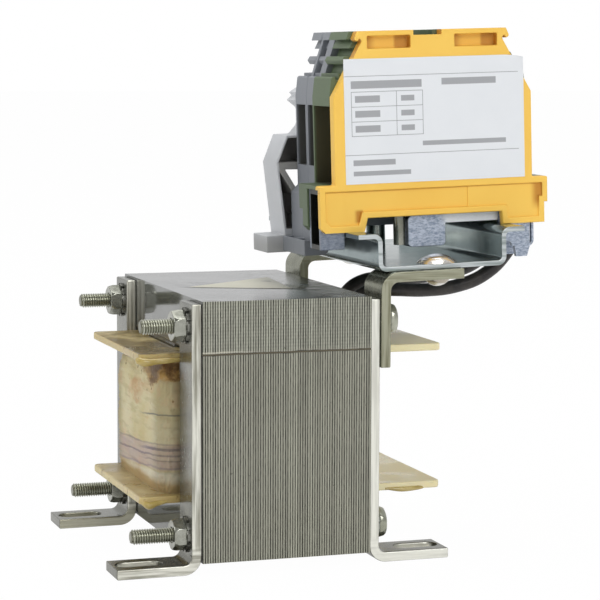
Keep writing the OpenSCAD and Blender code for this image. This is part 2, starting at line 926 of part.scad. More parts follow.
// Earth foot: a bent steel saddle with two side plates, a roof, a sill at its left hook and a spring loop
module earth_foot() {
    sill_length = -rail_grip - terminal_shift - foot_left;
    loop_radius = 1.4;
    loop_sheet = 0.5;
    loop_x = rail_grip - terminal_shift + foot_hook - loop_sheet;
    loop_z = 4;
    color("lightsteelblue")
        on_terminal()
            difference() {
                union() {
                    along_y(foot_cavity_front, foot_sheet) {
                        foot_plate();
                        translate([loop_x, loop_z])
                            difference() {
                                circle(loop_radius);
                                circle(loop_radius - loop_sheet);
                                translate([-loop_radius, 0])
                                    square(2 * loop_radius);
                            }
                        translate([loop_x + loop_radius - loop_sheet, loop_z])
                            square([loop_sheet, foot_cavity_roof - loop_z]);
                    }
                    along_y(foot_cavity_back - foot_sheet, foot_sheet)
                        foot_plate();
                    translate([foot_left, foot_cavity_front, foot_cavity_roof - foot_sheet])
                        cube([foot_right - foot_left, foot_cavity_depth, foot_sheet]);
                    translate([foot_left, foot_cavity_front, foot_sill])
                        cube([sill_length, foot_cavity_depth, foot_sheet]);
                }
                translate([rail_screw_x, rail_screw_y, foot_cavity_roof - 2 * foot_sheet])
                    cylinder(d = rail_screw + 0.5, h = 4 * foot_sheet);
            }
}

// Clamp yoke: a steel block in the rail's channel with an arm over the right flange
module earth_yoke() {
    play = 0.1;
    depth = foot_cavity_depth - 2 * foot_sheet - 2 * play;
    bottom = 3.7;
    block_corner = 0.9;
    arm_length = 15.5;
    arm_bottom = 8.2;
    arm_top = foot_notch - play;
    color("lightsteelblue")
        on_terminal()
            difference() {
                along_y(foot_cavity_front + foot_sheet + play, depth) {
                    translate([rail_screw_x, (bottom + arm_top) / 2])
                        round_rectangle([yoke_block, arm_top - bottom], block_corner);
                    translate([rail_screw_x, arm_bottom])
                        square([arm_length, arm_top - arm_bottom]);
                }
                translate([rail_screw_x, rail_screw_y, 0])
                    cylinder(d = rail_screw + 0.1, h = terminal_top);
            }
}

// Rail clamp screw: its head on the steel foot, its thread in the yoke
module earth_foot_screw() {
    head = [5, 2.4];
    slot = 0.8;
    bottom = 4.2;
    color("darkkhaki")
        on_terminal()
            translate([rail_screw_x, rail_screw_y, 0])
                difference() {
                    union() {
                        translate([0, 0, bottom])
                            cylinder(d = rail_screw, h = foot_cavity_roof - bottom + eps);
                        translate([0, 0, foot_cavity_roof])
                            cylinder(d = head.x, h = head.y);
                    }
                    translate([0, 0, foot_cavity_roof + head.y])
                        cube([2 * head.x, slot, 2 * slot], center = true);
                }
}

// Guide pin of the yoke, hanging from the steel foot
module earth_pin() {
    diameter = 2.4;
    bottom = 4.2;
    play = 0.1;
    color("darkkhaki")
        on_terminal()
            translate([rail_screw_x - (yoke_block + diameter) / 2 - play, rail_screw_y - 0.6, bottom])
                cylinder(d = diameter, h = foot_cavity_roof - foot_sheet - bottom);
}

// Feed-through housing: a moulded body that hooks over both flanges of the rail. Its front wall is
// plain and its comb stands behind that; the latch at the left has a slot for a screwdriver
module feed_housing(y_start, wall) {
    hook_bottom = 4.9;
    lip = 2.4;
    flare = 1.5;
    flare_top = 14.2;
    latch = 3.5;
    latch_bottom = 2.1;
    latch_top = 5.2;
    slot_wall = 1.3;
    slot = [1.4, feed_width - 2 * slot_wall, 1.9];
    grip_left = rail_grip + terminal_shift;
    grip_right = rail_grip - terminal_shift;
    color("lightslategray")
        on_terminal()
            difference() {
                union() {
                    along_y(y_start, wall)
                        polygon(both_sides(concat([[feed_half, rail_height]], flank_shoulder(feed_half))));
                    along_y(y_start + wall - eps, feed_width - wall + eps)
                        polygon(both_sides(concat([[feed_half, rail_height]], comb_shoulder(feed_half))));
                    along_y(y_start, feed_width) {
                        polygon([
                            [-grip_left, flare_top + flare], [-feed_half, flare_top + flare],
                            [-feed_half - flare, flare_top], [-feed_half - flare, latch_top],
                            [-feed_half - latch, latch_top], [-feed_half - latch, latch_bottom],
                            [-grip_left, latch_bottom], [lip - grip_left, hook_bottom],
                            [lip - grip_left, underflange], [-grip_left, underflange]
                        ]);
                        translate([grip_right, hook_bottom])
                            square([feed_half - grip_right, rail_height - hook_bottom + eps]);
                        translate([grip_right - lip, hook_bottom])
                            square([feed_half - grip_right + lip, underflange - hook_bottom]);
                    }
                }
                clamp_hollows(feed_half, y_start + pocket_wall, feed_pocket, feed_floor, feed_screw_well);
                translate([-feed_half - flare - slot.x, y_start + slot_wall, latch_top - slot.z])
                    cube([slot.x, slot.y, 2 * slot.z]);
            }
}

module feed_housing_front() feed_housing(earth_back, 3.2);
module feed_housing_rear() feed_housing(feed_middle, 1.2);

module feed_bar(y_middle) {
    side_play = 0.1;
    color("peru")
        on_terminal()
            current_bar(y_middle, feed_pocket - 2 * (cage_clearance + cage_wall + side_play));
}

module feed_bar_front() feed_bar(lead_front_y);
module feed_bar_rear() feed_bar(lead_rear_y);

module feed_cages() {
    color("slategray")
        on_terminal()
            for (y = [lead_front_y, lead_rear_y])
                clamp_cages(y, feed_pocket - 2 * cage_clearance, feed_screw);
}

module feed_clamp_screws() {
    color("silver")
        on_terminal()
            for (y = [lead_front_y, lead_rear_y])
                clamp_screws(y, feed_screw, feed_screw_head);
}

// Moves points given from the rail's left or right edge, and from a height, into the rail's frame
function from_left(points, level) = [for (p = points) [p.x - rail_grip, level + p.y]];
function from_right(points, level) = [for (p = points) [p.x + rail_grip, level + p.y]];

// End stop: a moulded bracket with a ribbed leg on the left, a screw well and hooks under the flanges
module end_stop() {
    rear_wall = 1.8;
    play = 0.1;
    color("gainsboro")
        on_rail()
            difference() {
                along_y(feed_back, stop_width)
                    difference() {
                        end_stop_outline();
                        polygon(from_left([
                            [-3.6, -20.6], [2.6, -20.8], [2.6, -24.8], [-1.1, -24.8]
                        ], stop_top));
                    }
                along_y(feed_back - eps, stop_width - rear_wall) {
                    polygon(from_left([[-2.8, -14.2], [-4.9, -19.1], [2.6, -19.1], [2.1, -14.2]], stop_top));
                    polygon(concat(
                        from_left([[-4.8, -21.1], [-1.8, -25.8], [2.6, -25.8]], stop_top),
                        from_left([[2.6, 9.4], [-1, 9.4], [-1, 6.6], [-3.6, 6.6]], 0)
                    ));
                }
                translate([0, stop_screw_y, 0]) {
                    cylinder(d = stop_screw + 3 * play, h = terminal_top);
                    translate([0, 0, stop_head_seat])
                        cylinder(d = stop_head.x + 4 * play, h = terminal_top);
                }
                translate([-stop_nut.x / 2 - play, feed_back - eps, stop_nut_z - play])
                    cube([
                        stop_nut.x + 2 * play,
                        (stop_width + stop_nut.y) / 2 + play,
                        stop_nut.z + 2 * play
                    ]);
            }
}

module end_stop_outline() {
    polygon(concat(
        from_left([[-8, 1.8], [3.2, 1.8], [3.2, underflange], [0, underflange], [0, rail_height]], 0),
        from_right([
            [0, rail_height], [0, underflange], [-3.2, underflange], [-3.2, 2.4], [3.9, 2.4],
            [3.9, 9], [2.8, 12]
        ], 0),
        from_right([[2.8, -9.4], [-2.6, -2.4], [-7.6, 0]], stop_top),
        from_left([
            [7.6, 0], [4.6, -2.6], [1.9, -4.2], [0.6, -5], [1.2, -5.6], [0.1, -6.6], [1.9, -8.1],
            [2.6, -10], [1.8, -11.9], [0.2, -13.6], [-3.1, -13.6], [-5.5, -19.2]
        ], stop_top),
        from_left([[-4.1, 5.3], [-8, 5.3]], 0)
    ));
}

// Clamp screw of the end stop: its tip stands on the floor of the rail
module end_stop_screw() {
    slot = 1;
    color("silver")
        on_rail()
            translate([0, stop_screw_y, 0])
                difference() {
                    union() {
                        translate([0, 0, rail_thickness])
                            cylinder(d = stop_screw, h = stop_head_seat - rail_thickness + eps);
                        translate([0, 0, stop_head_seat])
                            cylinder(d = stop_head.x, h = stop_head.y);
                    }
                    translate([0, 0, stop_head_seat + stop_head.y])
                        cube([2 * stop_head.x, slot, 2 * slot], center = true);
                }
}

// Square nut in the end stop that the screw turns in
module end_stop_nut() {
    color("silver")
        on_rail()
            difference() {
                translate([-stop_nut.x / 2, stop_screw_y - stop_nut.y / 2, stop_nut_z])
                    cube(stop_nut);
                translate([0, stop_screw_y, 0])
                    cylinder(d = stop_screw + 0.1, h = terminal_top);
            }
}

// Rating label: a sticker on the front of the earth terminal
module rating_label() {
    shift = 0.2;
    bottom = base_top + 0.1;
    corner_radius = 0.8;
    color("white")
        on_terminal()
            translate([shift, 0, bottom + label_height / 2])
                along_y(earth_face - label_thickness, label_thickness)
                    round_rectangle([label_width, label_height], corner_radius);
}

// A round tube with eight sides, swept along a route in the X and Z directions at a given Y
function route_tangent(route, i) =
    let (before = route[max(i - 1, 0)], after = route[min(i + 1, len(route) - 1)])
        (after - before) / norm(after - before);

function tube_ring(route, i, y, sides) =
    let (t = route_tangent(route, i), r = lead_diameter / 2)
        [
            for (k = [0 : sides - 1])
                let (a = 360 * (k + 0.5) / sides)
                    [route[i].x - t.y * r * cos(a), y + r * sin(a), route[i].y + t.x * r * cos(a)]
        ];

module lead(route, y) {
    sides = 8;
    last = len(route) - 1;
    points = [for (i = [0 : last]) each tube_ring(route, i, y, sides)];
    walls = [
        for (i = [0 : last - 1], k = [0 : sides - 1])
            let (a = i * sides + k, b = i * sides + (k + 1) % sides)
                [a, b, b + sides, a + sides]
    ];
    start = [for (k = [sides - 1 : -1 : 0]) k];
    end = [for (k = [0 : sides - 1]) last * sides + k];
    color("black")
        polyhedron(points, concat([start, end], walls));
}

// A route given in the frame of the bracket's arm, turned with its slope and run on to the winding
function sloped(route) = concat(
    [
        for (p = route)
            [
                bend_x + p.x * cos(rail_tilt) - p.y * sin(rail_tilt),
                bend_z + p.x * sin(rail_tilt) + p.y * cos(rail_tilt)
            ]
    ],
    [lead_end]
);

module lead_front() lead(sloped(lead_front_route), lead_front_y);
module lead_rear() lead(sloped(lead_rear_route), lead_rear_y);

e_laminations();
i_laminations();
air_gap_spacer();
bobbin();
winding();
coil_wrap();
clamp_foot_front_left();
clamp_foot_front_right();
clamp_foot_rear_left();
clamp_foot_rear_right();
through_bolts();
plain_washers();
toothed_washers();
nuts();
rail_bracket_front();
rail_bracket_rear();
rail();
rail_rivets();
earth_cover();
earth_body();
earth_bar();
earth_cages();
earth_clamp_screws();
earth_foot();
earth_yoke();
earth_foot_screw();
earth_pin();
feed_housing_front();
feed_housing_rear();
feed_bar_front();
feed_bar_rear();
feed_cages();
feed_clamp_screws();
end_stop();
end_stop_screw();
end_stop_nut();
rating_label();
lead_front();
lead_rear();
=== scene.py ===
import json
import math

import bpy
from mathutils import Matrix, Vector
from mathutils.noise import fractal

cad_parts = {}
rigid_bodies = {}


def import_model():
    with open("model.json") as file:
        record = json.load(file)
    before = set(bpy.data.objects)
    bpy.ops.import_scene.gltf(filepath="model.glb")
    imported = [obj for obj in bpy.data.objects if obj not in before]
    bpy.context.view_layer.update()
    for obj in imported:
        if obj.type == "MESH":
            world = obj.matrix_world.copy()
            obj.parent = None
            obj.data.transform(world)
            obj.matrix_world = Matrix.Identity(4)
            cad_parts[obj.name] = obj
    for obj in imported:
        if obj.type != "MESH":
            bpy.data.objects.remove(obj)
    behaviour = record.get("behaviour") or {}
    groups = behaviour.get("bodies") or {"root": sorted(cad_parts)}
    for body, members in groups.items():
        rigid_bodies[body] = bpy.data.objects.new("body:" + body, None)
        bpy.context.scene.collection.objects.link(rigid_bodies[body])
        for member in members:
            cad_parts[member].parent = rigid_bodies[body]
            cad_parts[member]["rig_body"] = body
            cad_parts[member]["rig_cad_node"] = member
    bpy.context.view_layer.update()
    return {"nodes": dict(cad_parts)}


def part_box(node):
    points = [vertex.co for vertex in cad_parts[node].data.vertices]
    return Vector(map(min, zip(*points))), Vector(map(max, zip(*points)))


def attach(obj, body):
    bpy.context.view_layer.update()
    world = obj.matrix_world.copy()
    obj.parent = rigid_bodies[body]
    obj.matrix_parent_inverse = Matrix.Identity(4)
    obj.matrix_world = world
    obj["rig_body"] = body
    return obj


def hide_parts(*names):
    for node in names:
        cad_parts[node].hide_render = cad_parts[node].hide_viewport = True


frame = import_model()
nodes = frame["nodes"]
scene = bpy.context.scene
scene.view_settings.view_transform = "Standard"

# Studio: a long lens a little above the top of the core, turned to the left of its front face.
# The reactor stands on a white floor under one large soft lamp, with a fill and a lamp overhead.
MM = 0.001
lens = bpy.data.cameras.new("long_lens")
lens.lens = 135.66
lens.sensor_width = 36
lens.clip_end = 30
camera = bpy.data.objects.new("camera", lens)
scene.collection.objects.link(camera)
scene.camera = camera
back = Vector((-0.31596, -0.94300, 0.10446)).normalized()
level = Vector((0, 0, 1)).cross(back).normalized()
upright = back.cross(level)
roll = math.radians(-0.198)
right = level * math.cos(roll) - upright * math.sin(roll)
above = upright * math.cos(roll) + level * math.sin(roll)
camera_place = (-0.13422, -0.43753, 0.09744)
camera.matrix_world = Matrix.Translation(camera_place) @ Matrix((
    (right.x, above.x, back.x, 0),
    (right.y, above.y, back.y, 0),
    (right.z, above.z, back.z, 0),
    (0, 0, 0, 1),
))


class Tone:
    """A value or a colour in a node tree, with arithmetic that adds Math nodes."""

    def __init__(self, tree, socket=None):
        self.tree = tree
        self.socket = socket

    def node(self, kind, settings=None, sockets=None, out=0):
        """Adds a node of any type: its settings first, then its sockets by name or number."""
        made = self.tree.nodes.new("ShaderNode" + kind)
        for key, value in (settings or {}).items():
            setattr(made, key, value)
        for key, value in (sockets or {}).items():
            if isinstance(value, Tone):
                self.tree.links.new(value.socket, made.inputs[key])
            else:
                made.inputs[key].default_value = value
        return Tone(self.tree, made.outputs[out])

    def math(self, operation, first, second=0.0):
        return self.node("Math", {"operation": operation}, {0: first, 1: second})

    def __add__(self, other):
        return self.math("ADD", self, other)

    def __radd__(self, other):
        return self.math("ADD", other, self)

    def __sub__(self, other):
        return self.math("SUBTRACT", self, other)

    def __rsub__(self, other):
        return self.math("SUBTRACT", other, self)

    def __mul__(self, other):
        return self.math("MULTIPLY", self, other)

    def __rmul__(self, other):
        return self.math("MULTIPLY", other, self)

    def __truediv__(self, other):
        return self.math("DIVIDE", self, other)

    def __gt__(self, other):
        return self.math("GREATER_THAN", self, other)

    def __lt__(self, other):
        return self.math("LESS_THAN", self, other)

    def __abs__(self):
        return self.math("ABSOLUTE", self)

    def clamped(self):
        return self.node("Clamp", {}, {"Value": self})

    def step(self, low, high):
        """Rises smoothly from 0 at low to 1 at high."""
        return self.node("MapRange", {"interpolation_type": "SMOOTHSTEP"},
                         {"Value": self, "From Min": low, "From Max": high})

    def blend(self, first, second):
        """Mixes two colours by this value."""
        first = first if isinstance(first, Tone) else (*first, 1)
        second = second if isinstance(second, Tone) else (*second, 1)
        return self.node("Mix", {"data_type": "RGBA"}, {0: self, 6: first, 7: second}, out=2)


sky = bpy.data.worlds.new("studio")
scene.world = sky
sky.use_nodes = True
sky_tree = Tone(sky.node_tree)
seen = sky_tree.node("LightPath", out="Is Camera Ray")
mirrored = sky_tree.node("LightPath", out="Is Glossy Ray")
through = sky_tree.node("LightPath", out="Is Transmission Ray")
towards = sky_tree.node("SeparateXYZ", {}, {0: sky_tree.node("TexCoord", out="Generated")}).socket.node
to_back = Tone(sky.node_tree, towards.outputs[1])
shown = (seen + through).clamped()
ambient = 0.40
in_metal = to_back.step(-0.5, 0.9) * 0.55 + 0.3
sky_strength = shown + mirrored * in_metal + (1 - (shown + mirrored).clamped()) * ambient
sky.node_tree.links.new(sky_strength.socket, sky.node_tree.nodes["Background"].inputs["Strength"])
sky.node_tree.nodes["Background"].inputs["Color"].default_value = (1, 1, 1, 1)
lamp_aim = Vector((0.01, 0, 0.05))


def lamp(name, place, size, power):
    """A square soft lamp that points at the middle of the core."""
    light = bpy.data.lights.new(name, "AREA")
    light.size = size
    light.energy = power
    holder = bpy.data.objects.new(name, light)
    scene.collection.objects.link(holder)
    holder.location = place
    holder.rotation_euler = (lamp_aim - Vector(place)).to_track_quat("-Z", "Y").to_euler()


lamp("key_lamp", (0.15, -1.25, 0.75), 0.7, 8.0)
lamp("side_lamp", (-1.05, -0.05, 0.75), 0.6, 4.5)
lamp("top_lamp", (0.1, 0.15, 1.2), 0.6, 5.0)


def finish(name, constants=None):
    """A new finish: its material, the head of its node tree and its shader."""
    material = bpy.data.materials.new(name)
    material.use_nodes = True
    shader = material.node_tree.nodes["Principled BSDF"]
    for socket, value in (constants or {}).items():
        shader.inputs[socket].default_value = value
    return material, Tone(material.node_tree), shader


def dress(piece, material):
    """Gives a piece one finish in place of those it has."""
    piece.data.materials.clear()
    piece.data.materials.append(material)


floor_size, floor_drop = 14, 0.05 * MM
floor_white, base, shader = finish("floor_white", {"Base Color": (0.9, 0.9, 0.9, 1), "Roughness": 0.9})
seen = base.node("LightPath", out="Is Camera Ray")
mirrored = base.node("LightPath", out="Is Glossy Ray")
glow = base.node("Emission", {}, {"Color": (1, 1, 1, 1), "Strength": 1.0})
plain = Tone(base.tree, shader.outputs[0])
surface = base.node("MixShader", {}, {0: seen * 0.985 + mirrored * 0.6, 1: plain, 2: glow})
base.tree.links.new(surface.socket, base.tree.nodes["Material Output"].inputs["Surface"])
bpy.ops.object.select_all(action="DESELECT")
bpy.ops.mesh.primitive_plane_add(size=floor_size, location=(0, 0, -floor_drop))
floor = bpy.context.object
floor.name = "floor"
bpy.ops.object.transform_apply()
dress(floor, floor_white)

# Leads: two limp stranded wires in black plastic insulation, from the coil to the feed-through terminals.
# Each comes up from the winding, runs under the rail and turns back at its right into a clamp.


def only(piece):
    """Makes one piece the only one selected."""
    bpy.ops.object.select_all(action="DESELECT")
    piece.select_set(True)
    bpy.context.view_layer.objects.active = piece


def feed(shader, **tones):
    """Links values that change over the surface to the shader's sockets."""
    for name, tone in tones.items():
        tone.tree.links.new(tone.socket, shader.inputs[name.replace("_", " ")])


def place_in(base):
    """The point on the surface, in the frame."""
    return base.node("TexCoord", out="Object")


def noise(base, place, scale, detail=3.0, roughness=0.55):
    return base.node("TexNoise", {}, {"Vector": place, "Scale": scale, "Detail": detail,
                                      "Roughness": roughness}, out=0)


def bump(base, height, depth, strength=1.0):
    """A normal from a height between 0 and 1, over a depth in metres."""
    return base.node("Bump", {}, {"Height": height, "Distance": depth, "Strength": strength})


lead_finish, base, shader = finish("lead_insulation")
place = place_in(base)
smear = noise(base, place, 240, 4)
feed(shader, Base_Color=smear.step(0.35, 0.70).blend((0.012, 0.010, 0.009), (0.042, 0.035, 0.030)),
     Roughness=smear * 0.3 + 0.28,
     Normal=bump(base, noise(base, place, 480, 4, 0.65), 0.3 * MM, 0.6))

arm_slope = math.radians(1.8)
arm_bend = Vector((22.6, 53.5))
lead_radius = 1.4
lead_foot = (20.6, 40.15)
lead_routes = {
    "lead_front": (-5.65, [
        (18.2, 26.1), (24.2, 26.1), (31.2, 26.1), (35.1, 24.6), (37.2, 20.8), (37.5, 15.3),
        (36.5, 9.4), (33.3, 3.6), (28.3, -0.6), (22.3, -2.6), (15.3, -3.1), (8.3, -2.6),
        (3.8, -2.3), (0.6, -3.6), (-1.4, -6.4), (-2.2, -9.5),
    ]),
    "lead_rear": (1.25, [
        (18.2, 26.1), (24.2, 26.1), (31.2, 26.1), (35.0, 24.6), (36.9, 20.9), (37.1, 15.3),
        (36.3, 10.6), (34.0, 5.6), (29.2, 1.3), (22.5, -0.6), (15.3, -1.1), (8.3, -0.9),
        (3.9, -1.2), (0.6, -3.0), (-1.4, -6.2), (-2.2, -9.5),
    ]),
}


def tube(name, points, radius):
    """A smooth round run through points in millimetres; a fourth number swells or thins it there."""
    line = bpy.data.curves.new(name, "CURVE")
    line.dimensions = "3D"
    line.bevel_depth = radius * MM
    line.bevel_resolution = 5
    line.resolution_u = 8
    line.use_fill_caps = True
    spline = line.splines.new("BEZIER")
    spline.bezier_points.add(len(points) - 1)
    for knot, point in zip(spline.bezier_points, points):
        knot.co = Vector(point[:3]) * MM
        knot.handle_left_type = knot.handle_right_type = "AUTO"
        knot.radius = point[3] if len(point) > 3 else 1.0
    run = bpy.data.objects.new(name, line)
    scene.collection.objects.link(run)
    only(run)
    bpy.ops.object.convert(target="MESH")
    bpy.ops.object.shade_smooth()
    run = bpy.context.object
    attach(run, "root")
    return run


for name, (lead_y, route) in lead_routes.items():
    points = []
    for along, over in route:
        points.append((
            arm_bend.x + along * math.cos(arm_slope) - over * math.sin(arm_slope),
            lead_y,
            arm_bend.y + along * math.sin(arm_slope) + over * math.cos(arm_slope),
        ))
    points.append((lead_foot[0], lead_y, lead_foot[1]))
    wire = tube(name + "_wire", points, lead_radius)
    dress(wire, lead_finish)
    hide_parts(name)

# Core: E and I sheets of silicon steel, stacked from left to right and dipped in varnish.
# The cut edges show as fine upright lines on the front and back, with the joint near the top.
# A pale flake of varnish has lifted on the top, which is crazed and dark at its right.


def axes(base):
    """The point on the surface, and its three parts in millimetres."""
    place = place_in(base)
    split = base.node("SeparateXYZ", {}, {0: place}).socket.node
    return (place, *(Tone(base.tree, split.outputs[k]) * 1000 for k in range(3)))


def facing(base):
    """The three parts of the direction in which the surface faces."""
    split = base.node("SeparateXYZ", {}, {0: base.node("NewGeometry", out="Normal")}).socket.node
    return [Tone(base.tree, split.outputs[k]) for k in range(3)]


def stretched(base, place, scales, detail, roughness=0.55):
    """Noise with a scale of its own along each axis, for streaks and runs."""
    drawn = base.node("VectorMath", {"operation": "MULTIPLY"}, {0: place, 1: scales})
    return noise(base, drawn, 1, detail, roughness)


sheet_thick, first_sheet = 0.5, -17.0
core_front = -30.0
joint_level = 42.36
flake_left, flake_front, flake_rear = (-12, -1.7), (7.2, -10.5), (9.9, 14.1)
lamination, base, shader = finish("lamination", {"IOR": 1.5})
place, x, y, z = axes(base)
face_x, face_y, face_z = facing(base)
edge_face = abs(face_y) > 0.3
flat_face = abs(face_x) > 0.9
top_face = face_z > 0.9
cloud = noise(base, place, 70, 4)
spots = noise(base, place, 1100, 2, 0.6)
sheet = (x - first_sheet) / sheet_thick
one_sheet = base.node("TexWhiteNoise", {"noise_dimensions": "1D"}, {"W": base.math("FLOOR", sheet)}, out=0)
group = base.node("TexNoise", {"noise_dimensions": "1D"}, {"W": x, "Scale": 0.9, "Detail": 3.0}, out=0)
within = base.math("FRACT", sheet)
gap = base.math("FLOOR", (x - first_sheet + sheet_thick / 2) / sheet_thick)
one_gap = base.node("TexWhiteNoise", {"noise_dimensions": "1D"}, {"W": gap + 0.5}, out=0)
grain = stretched(base, place, (2100, 60, 520), 3, 0.6)
joint = abs(within - 0.5).step(0.14, 0.40) * (one_gap * 0.2 + grain.step(0.30, 0.62) * 0.55 + 0.25)
streak = stretched(base, place, (2600, 60, 45), 2)
closing = z > joint_level
rows = base.math("SINE", z * 9.5) * 0.06 * closing
shade = one_sheet * 0.25 + streak * 0.3 + grain * 0.7 + group * 0.5 + cloud * 0.3 + rows - 0.08
edges = base.node("Mix", {"data_type": "RGBA", "blend_type": "MULTIPLY"}, {
    0: 1.0, 6: closing.blend((0.375, 0.375, 0.305), (0.40, 0.405, 0.335)),
    7: base.node("CombineColor", {}, {0: shade, 1: shade, 2: shade})}, out=2)
edges = joint.blend(edges, (0.03, 0.028, 0.019))
edges = (spots.step(0.68, 0.74) * 0.6).blend(edges, (0.05, 0.045, 0.03))
ragged = z + (noise(base, place, 320, 3) - 0.5) * 0.5
wiped = abs(ragged - joint_level - 0.36).step(0.26, 0.08) * (0.14 + x.step(-4, -14) * 0.66)
edges = wiped.blend(edges, (0.60, 0.58, 0.48))
edges = (abs(ragged - joint_level).step(0.28, 0.08) * 0.9).blend(edges, (0.03, 0.027, 0.018))
sides = cloud.step(0.3, 0.7).blend((0.13, 0.135, 0.125), (0.21, 0.215, 0.205))


def beyond(start, end):
    """How far a point of the core's top lies to the left of a line drawn over it."""
    run = Vector(end) - Vector(start)
    run.normalize()
    return (y - start[1]) * run.x - (x - start[0]) * run.y


def beside(start, end):
    """1 on the left of such a line, 0 on its right."""
    return beyond(start, end).step(-0.15, 0.15)


top = cloud.step(0.25, 0.75).blend((0.13, 0.135, 0.135), (0.21, 0.215, 0.22))
on_flake = beside(flake_left, flake_front)
pale = on_flake * beside(flake_front, flake_rear) * beside(flake_rear, flake_left)
top = (pale * (0.95 - x.step(2, 11) * 0.45)).blend(top, (0.62, 0.60, 0.47))
# Painted shadow: a dark band just in front of the flake's front edge, cast by the lifted flake.
flake_shadow = (1 - on_flake) * beside((-12, -3.1), (7.2, -12.5)) * x.step(-12, -11) * x.step(9, 8)
top = (flake_shadow * 0.85).blend(top, (0.05, 0.05, 0.04))
behind = beyond(flake_left, flake_front)
raised = behind.step(-1.7, 0.1) * behind.step(14, 0) * x.step(-14, -9) * x.step(11, 6)
runs = noise(base, place, 260, 3, 0.6)
crazed = x.step(2, 11)
top = (runs.step(0.56, 0.64) * crazed * 0.8).blend(top, (0.045, 0.045, 0.038))
nick_x, nick_y = (x + 15.2) / 2.0, (y - core_front) / 2.6
nick = (nick_x * nick_x + nick_y * nick_y).step(1.1, 0.8)
top = (nick * 0.9).blend(top, (0.045, 0.048, 0.03))
varnish = (y - core_front - cloud * 5).step(1.2, -0.2) * x.step(-8, -2)
top = (varnish * 0.7).blend(top, (0.05, 0.05, 0.042))
feed(shader, Base_Color=top_face.blend(flat_face.blend(edges, sides), top),
     Metallic=0.35 + (flat_face + top_face) * 0.4,
     Roughness=0.46 - flat_face * 0.41 - top_face * 0.30 + spots * 0.06 + pale * top_face * 0.2,
     Normal=bump(base, streak * edge_face * 0.7 + (spots * 0.1 + cloud * 0.5) * (1 - flat_face * 0.7)
                 + (runs * crazed * 7.0 + raised * 15.0) * top_face, 0.06 * MM, 0.5))
for name in ("e_laminations", "i_laminations"):
    dress(nodes[name], lamination)

# Air gap: a strip of pressed insulating sheet between the limbs and the closing yoke.
# It is cut flush with the laminations and soaked in the same varnish.
spacer_sheet, base, shader = finish("spacer_sheet", {"Roughness": 0.6})
feed(shader, Base_Color=noise(base, place_in(base), 500, 3).blend((0.05, 0.045, 0.03), (0.16, 0.13, 0.08)))
dress(nodes["air_gap_spacer"], spacer_sheet)

# Bobbin: a former moulded in natural nylon, with a flange at each end of the coil, pushed over the centre limb.
# Brown varnish has run over the flanges and dried in puddles and beads.
weld_gap = 0.002 * MM
flat_angle, sharp_angle, smooth_angle = math.radians(1), math.radians(32), math.radians(50)


def copy_of(node, name):
    """A copy of a solid under a name of its own, left in edit mode with its triangles joined."""
    only(nodes[node])
    bpy.ops.object.duplicate()
    piece = bpy.context.object
    piece.name = name
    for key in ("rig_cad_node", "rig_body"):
        del piece[key]
    bpy.ops.object.mode_set(mode="EDIT")
    bpy.ops.mesh.select_all(action="SELECT")
    bpy.ops.mesh.remove_doubles(threshold=weld_gap)
    return piece


def softened(name, node, width, segments=2, skip=None):
    """A copy of a solid that stands for it, with its sharp edges rounded where skip doesn't leave them."""
    piece = copy_of(node, name)
    bpy.ops.mesh.dissolve_limited(angle_limit=flat_angle)
    bpy.ops.mesh.select_mode(type="EDGE")
    bpy.ops.mesh.select_all(action="DESELECT")
    bpy.ops.mesh.edges_select_sharp(sharpness=sharp_angle)
    bpy.ops.object.mode_set(mode="OBJECT")
    if skip:
        for kind in (piece.data.vertices, piece.data.polygons):
            kind.foreach_set("select", [False] * len(kind))
        for edge in piece.data.edges:
            if any(skip(piece.data.vertices[end].co / MM) for end in edge.vertices):
                edge.select = False
    bpy.ops.object.mode_set(mode="EDIT")
    bpy.ops.mesh.bevel(offset=width * MM, segments=segments, affect="EDGES", clamp_overlap=False)
    bpy.ops.mesh.select_mode(type="VERT")
    bpy.ops.object.mode_set(mode="OBJECT")
    bpy.ops.mesh.customdata_custom_splitnormals_clear()
    bpy.ops.object.shade_smooth_by_angle(angle=smooth_angle)
    flat = piece.modifiers.new("flat", "WEIGHTED_NORMAL")
    flat.keep_sharp = True
    bpy.ops.object.modifier_apply(modifier="flat")
    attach(piece, "root")
    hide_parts(node)
    return piece


nylon, base, shader = finish("natural_nylon", {
    "Specular IOR Level": 0.16, "Coat Roughness": 0.08,
    "Subsurface Weight": 0.2, "Subsurface Scale": 0.003, "Subsurface Radius": (1.0, 0.7, 0.4),
})
place, x, y, z = axes(base)
cloud = noise(base, place, 150, 5, 0.6)
broad = noise(base, place, 60, 3)
fine = noise(base, place, 900, 3)
clean = fine.blend((0.60, 0.505, 0.27), (0.70, 0.60, 0.36))
clean = (x.step(12, 20) * 0.85).blend(clean, (0.88, 0.79, 0.50))
inner = abs(x + 1).step(27, 19)
amber = (cloud * 0.5 + broad * 0.9 + inner * 0.14).step(0.68, 0.92)
brown = (cloud + inner * 0.10).step(0.64, 0.76) * x.step(2, -14)
tint = (amber * 0.8 * x.step(8, -12)).blend(clean, (0.46, 0.335, 0.115))
tint = (brown * 0.6).blend(tint, (0.24, 0.14, 0.05))
fleck = noise(base, place, 380, 3).step(0.62, 0.69) * x.step(-8, -16)
tint = (fleck * 0.65).blend(tint, (0.17, 0.10, 0.03))
tint = (x.step(-14, -20) * z.step(30, 36) * 0.4).blend(tint, (0.42, 0.31, 0.10))
soaked = facing(base)[2].step(0.3, 0.8) * x.step(-15, -18) * (cloud + broad * 0.5).step(0.42, 0.80)
tint = (soaked * (z.step(30, 36) * 0.62 + 0.3)).blend(tint, (0.15, 0.105, 0.035))
feed(shader, Base_Color=tint, Roughness=0.42 - amber * 0.2, Coat_Weight=amber * 0.3,
     Normal=bump(base, cloud * 0.6 + broad * 0.6 + fine * 0.1, 0.4 * MM, 0.5))
bobbin = softened("former", "bobbin", 0.3, 3)
